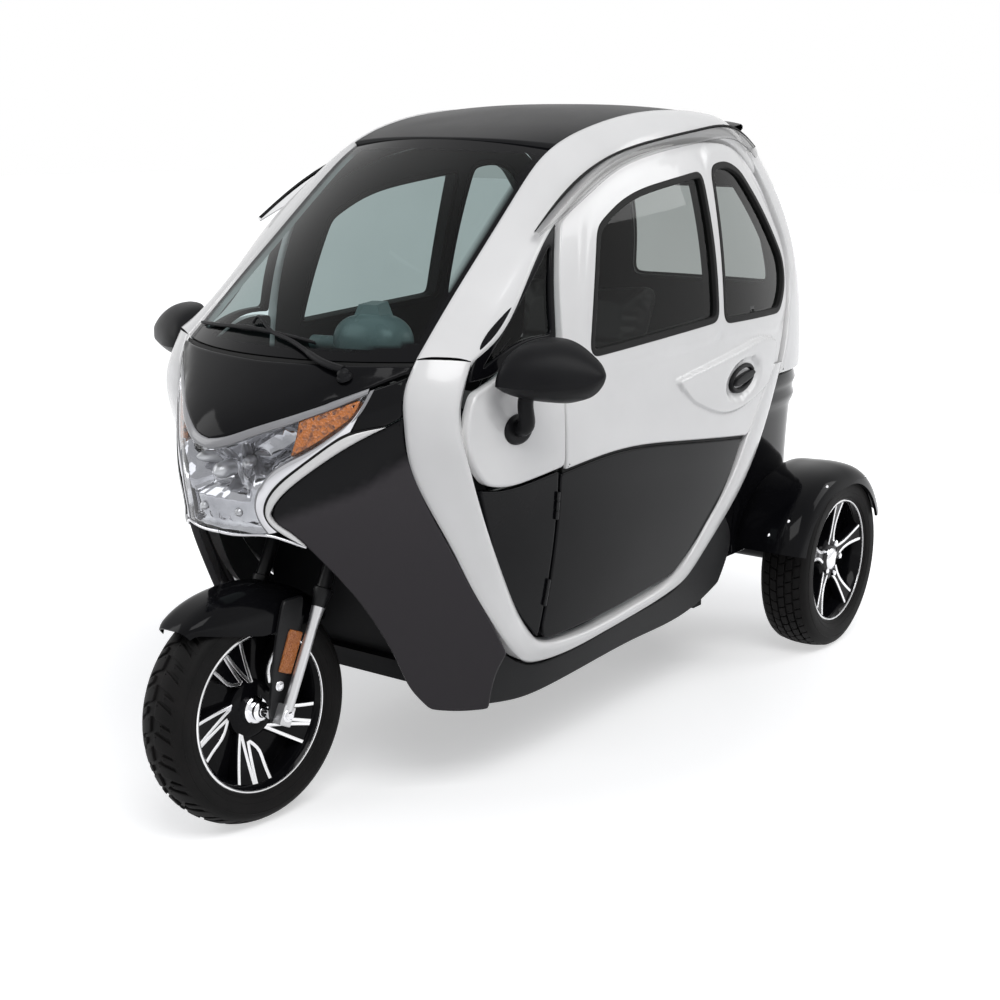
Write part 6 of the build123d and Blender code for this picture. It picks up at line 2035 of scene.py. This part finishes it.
def build_floor():
    """Pale floor that keeps the soft shadow and goes over to the white of the backdrop further out; its glow
    is also weaker near the middle, a painted shade round the object.
    """
    mesh = bpy.data.meshes.new("floor")
    mesh.from_pydata([(-30, -30, 0), (30, -30, 0), (30, 30, 0), (-30, 30, 0)], [], [(0, 1, 2, 3)])
    material, nodes, links, bsdf = node_material("floor_white")
    bsdf.inputs["Base Color"].default_value = (0.80, 0.80, 0.80, 1)
    bsdf.inputs["Roughness"].default_value = 0.9
    bsdf.inputs["Specular IOR Level"].default_value = 0.1
    glow = nodes.new("ShaderNodeEmission")
    spot = nodes.new("ShaderNodeTexCoord")
    far = nodes.new("ShaderNodeVectorMath")
    far.operation = "LENGTH"
    links.new(spot.outputs["Object"], far.inputs[0])
    # Painted shade: the glow is 0.45 near the middle, under the object, and full strength from 2.6 m out.
    painted_shade_fade = nodes.new("ShaderNodeMapRange")
    painted_shade_fade.inputs["From Min"].default_value = 0.6
    painted_shade_fade.inputs["From Max"].default_value = 2.6
    painted_shade_fade.inputs["To Min"].default_value = 0.45
    painted_shade_fade.inputs["To Max"].default_value = 1.0
    links.new(far.outputs["Value"], painted_shade_fade.inputs["Value"])
    shown = nodes.new("ShaderNodeMath")
    shown.operation = "MULTIPLY"
    links.new(painted_shade_fade.outputs["Result"], shown.inputs[0])
    links.new(seen_ray(nodes, links), shown.inputs[1])
    links.new(shown.outputs["Value"], glow.inputs["Strength"])
    add = nodes.new("ShaderNodeAddShader")
    links.new(bsdf.outputs["BSDF"], add.inputs[0])
    links.new(glow.outputs["Emission"], add.inputs[1])
    links.new(add.outputs["Shader"], nodes["Material Output"].inputs["Surface"])
    mesh.materials.append(material)
    floor = bpy.data.objects.new("floor", mesh)
    bpy.context.scene.collection.objects.link(floor)


def area_light(name, place, target, size, power):
    data = bpy.data.lights.new(name, "AREA")
    data.shape = "RECTANGLE"
    data.size, data.size_y = size
    data.energy = power
    light = bpy.data.objects.new(name, data)
    light.location = place
    light.rotation_euler = (Vector(target) - Vector(place)).to_track_quat("-Z", "Y").to_euler()
    bpy.context.scene.collection.objects.link(light)


def build_light():
    world = bpy.data.worlds.new("studio")
    world.use_nodes = True
    nodes, links = world.node_tree.nodes, world.node_tree.links
    seen = nodes.new("ShaderNodeBackground")
    seen.inputs["Color"].default_value = (1, 1, 1, 1)
    lit = nodes["Background"]
    lit.inputs["Color"].default_value = (0.9, 0.93, 1.0, 1)
    lit.inputs["Strength"].default_value = 0.30
    mix = nodes.new("ShaderNodeMixShader")
    links.new(seen_ray(nodes, links), mix.inputs["Fac"])
    links.new(lit.outputs["Background"], mix.inputs[1])
    links.new(seen.outputs["Background"], mix.inputs[2])
    links.new(mix.outputs["Shader"], nodes["World Output"].inputs["Surface"])
    bpy.context.scene.world = world
    area_light("key", (2.4, -2.2, 4.2), (0, 0, 0.6), (3.2, 2.2), 120)
    area_light("fill", (-3.4, -2.6, 2.8), (0, -0.2, 0.6), (2.4, 2.4), 45)
    area_light("rim", (3.2, 3.4, 3.0), (0.2, 0.4, 0.8), (2.6, 2.0), 45)
    bpy.context.scene.view_settings.view_transform = "Standard"


def build_all():
    build_camera()
    build_floor()
    build_light()
    build_side_frames()
    build_door("door_left", False)
    build_door("door_right", True)
    build_hinges()
    build_quarters()
    build_bonnet()
    build_fairings()
    build_skirts()
    build_windscreen()
    build_roof()
    build_tail()
    build_tail_lower()
    build_fenders()
    build_visors()
    build_mirrors()
    build_spoiler()
    build_seats()
    build_wiper()
    build_cowling()
    build_lamps()
    build_front_wheel()
    build_fork()
    build_mudguard()
    build_rear_wheels()
    finish_nodes()


build_all()
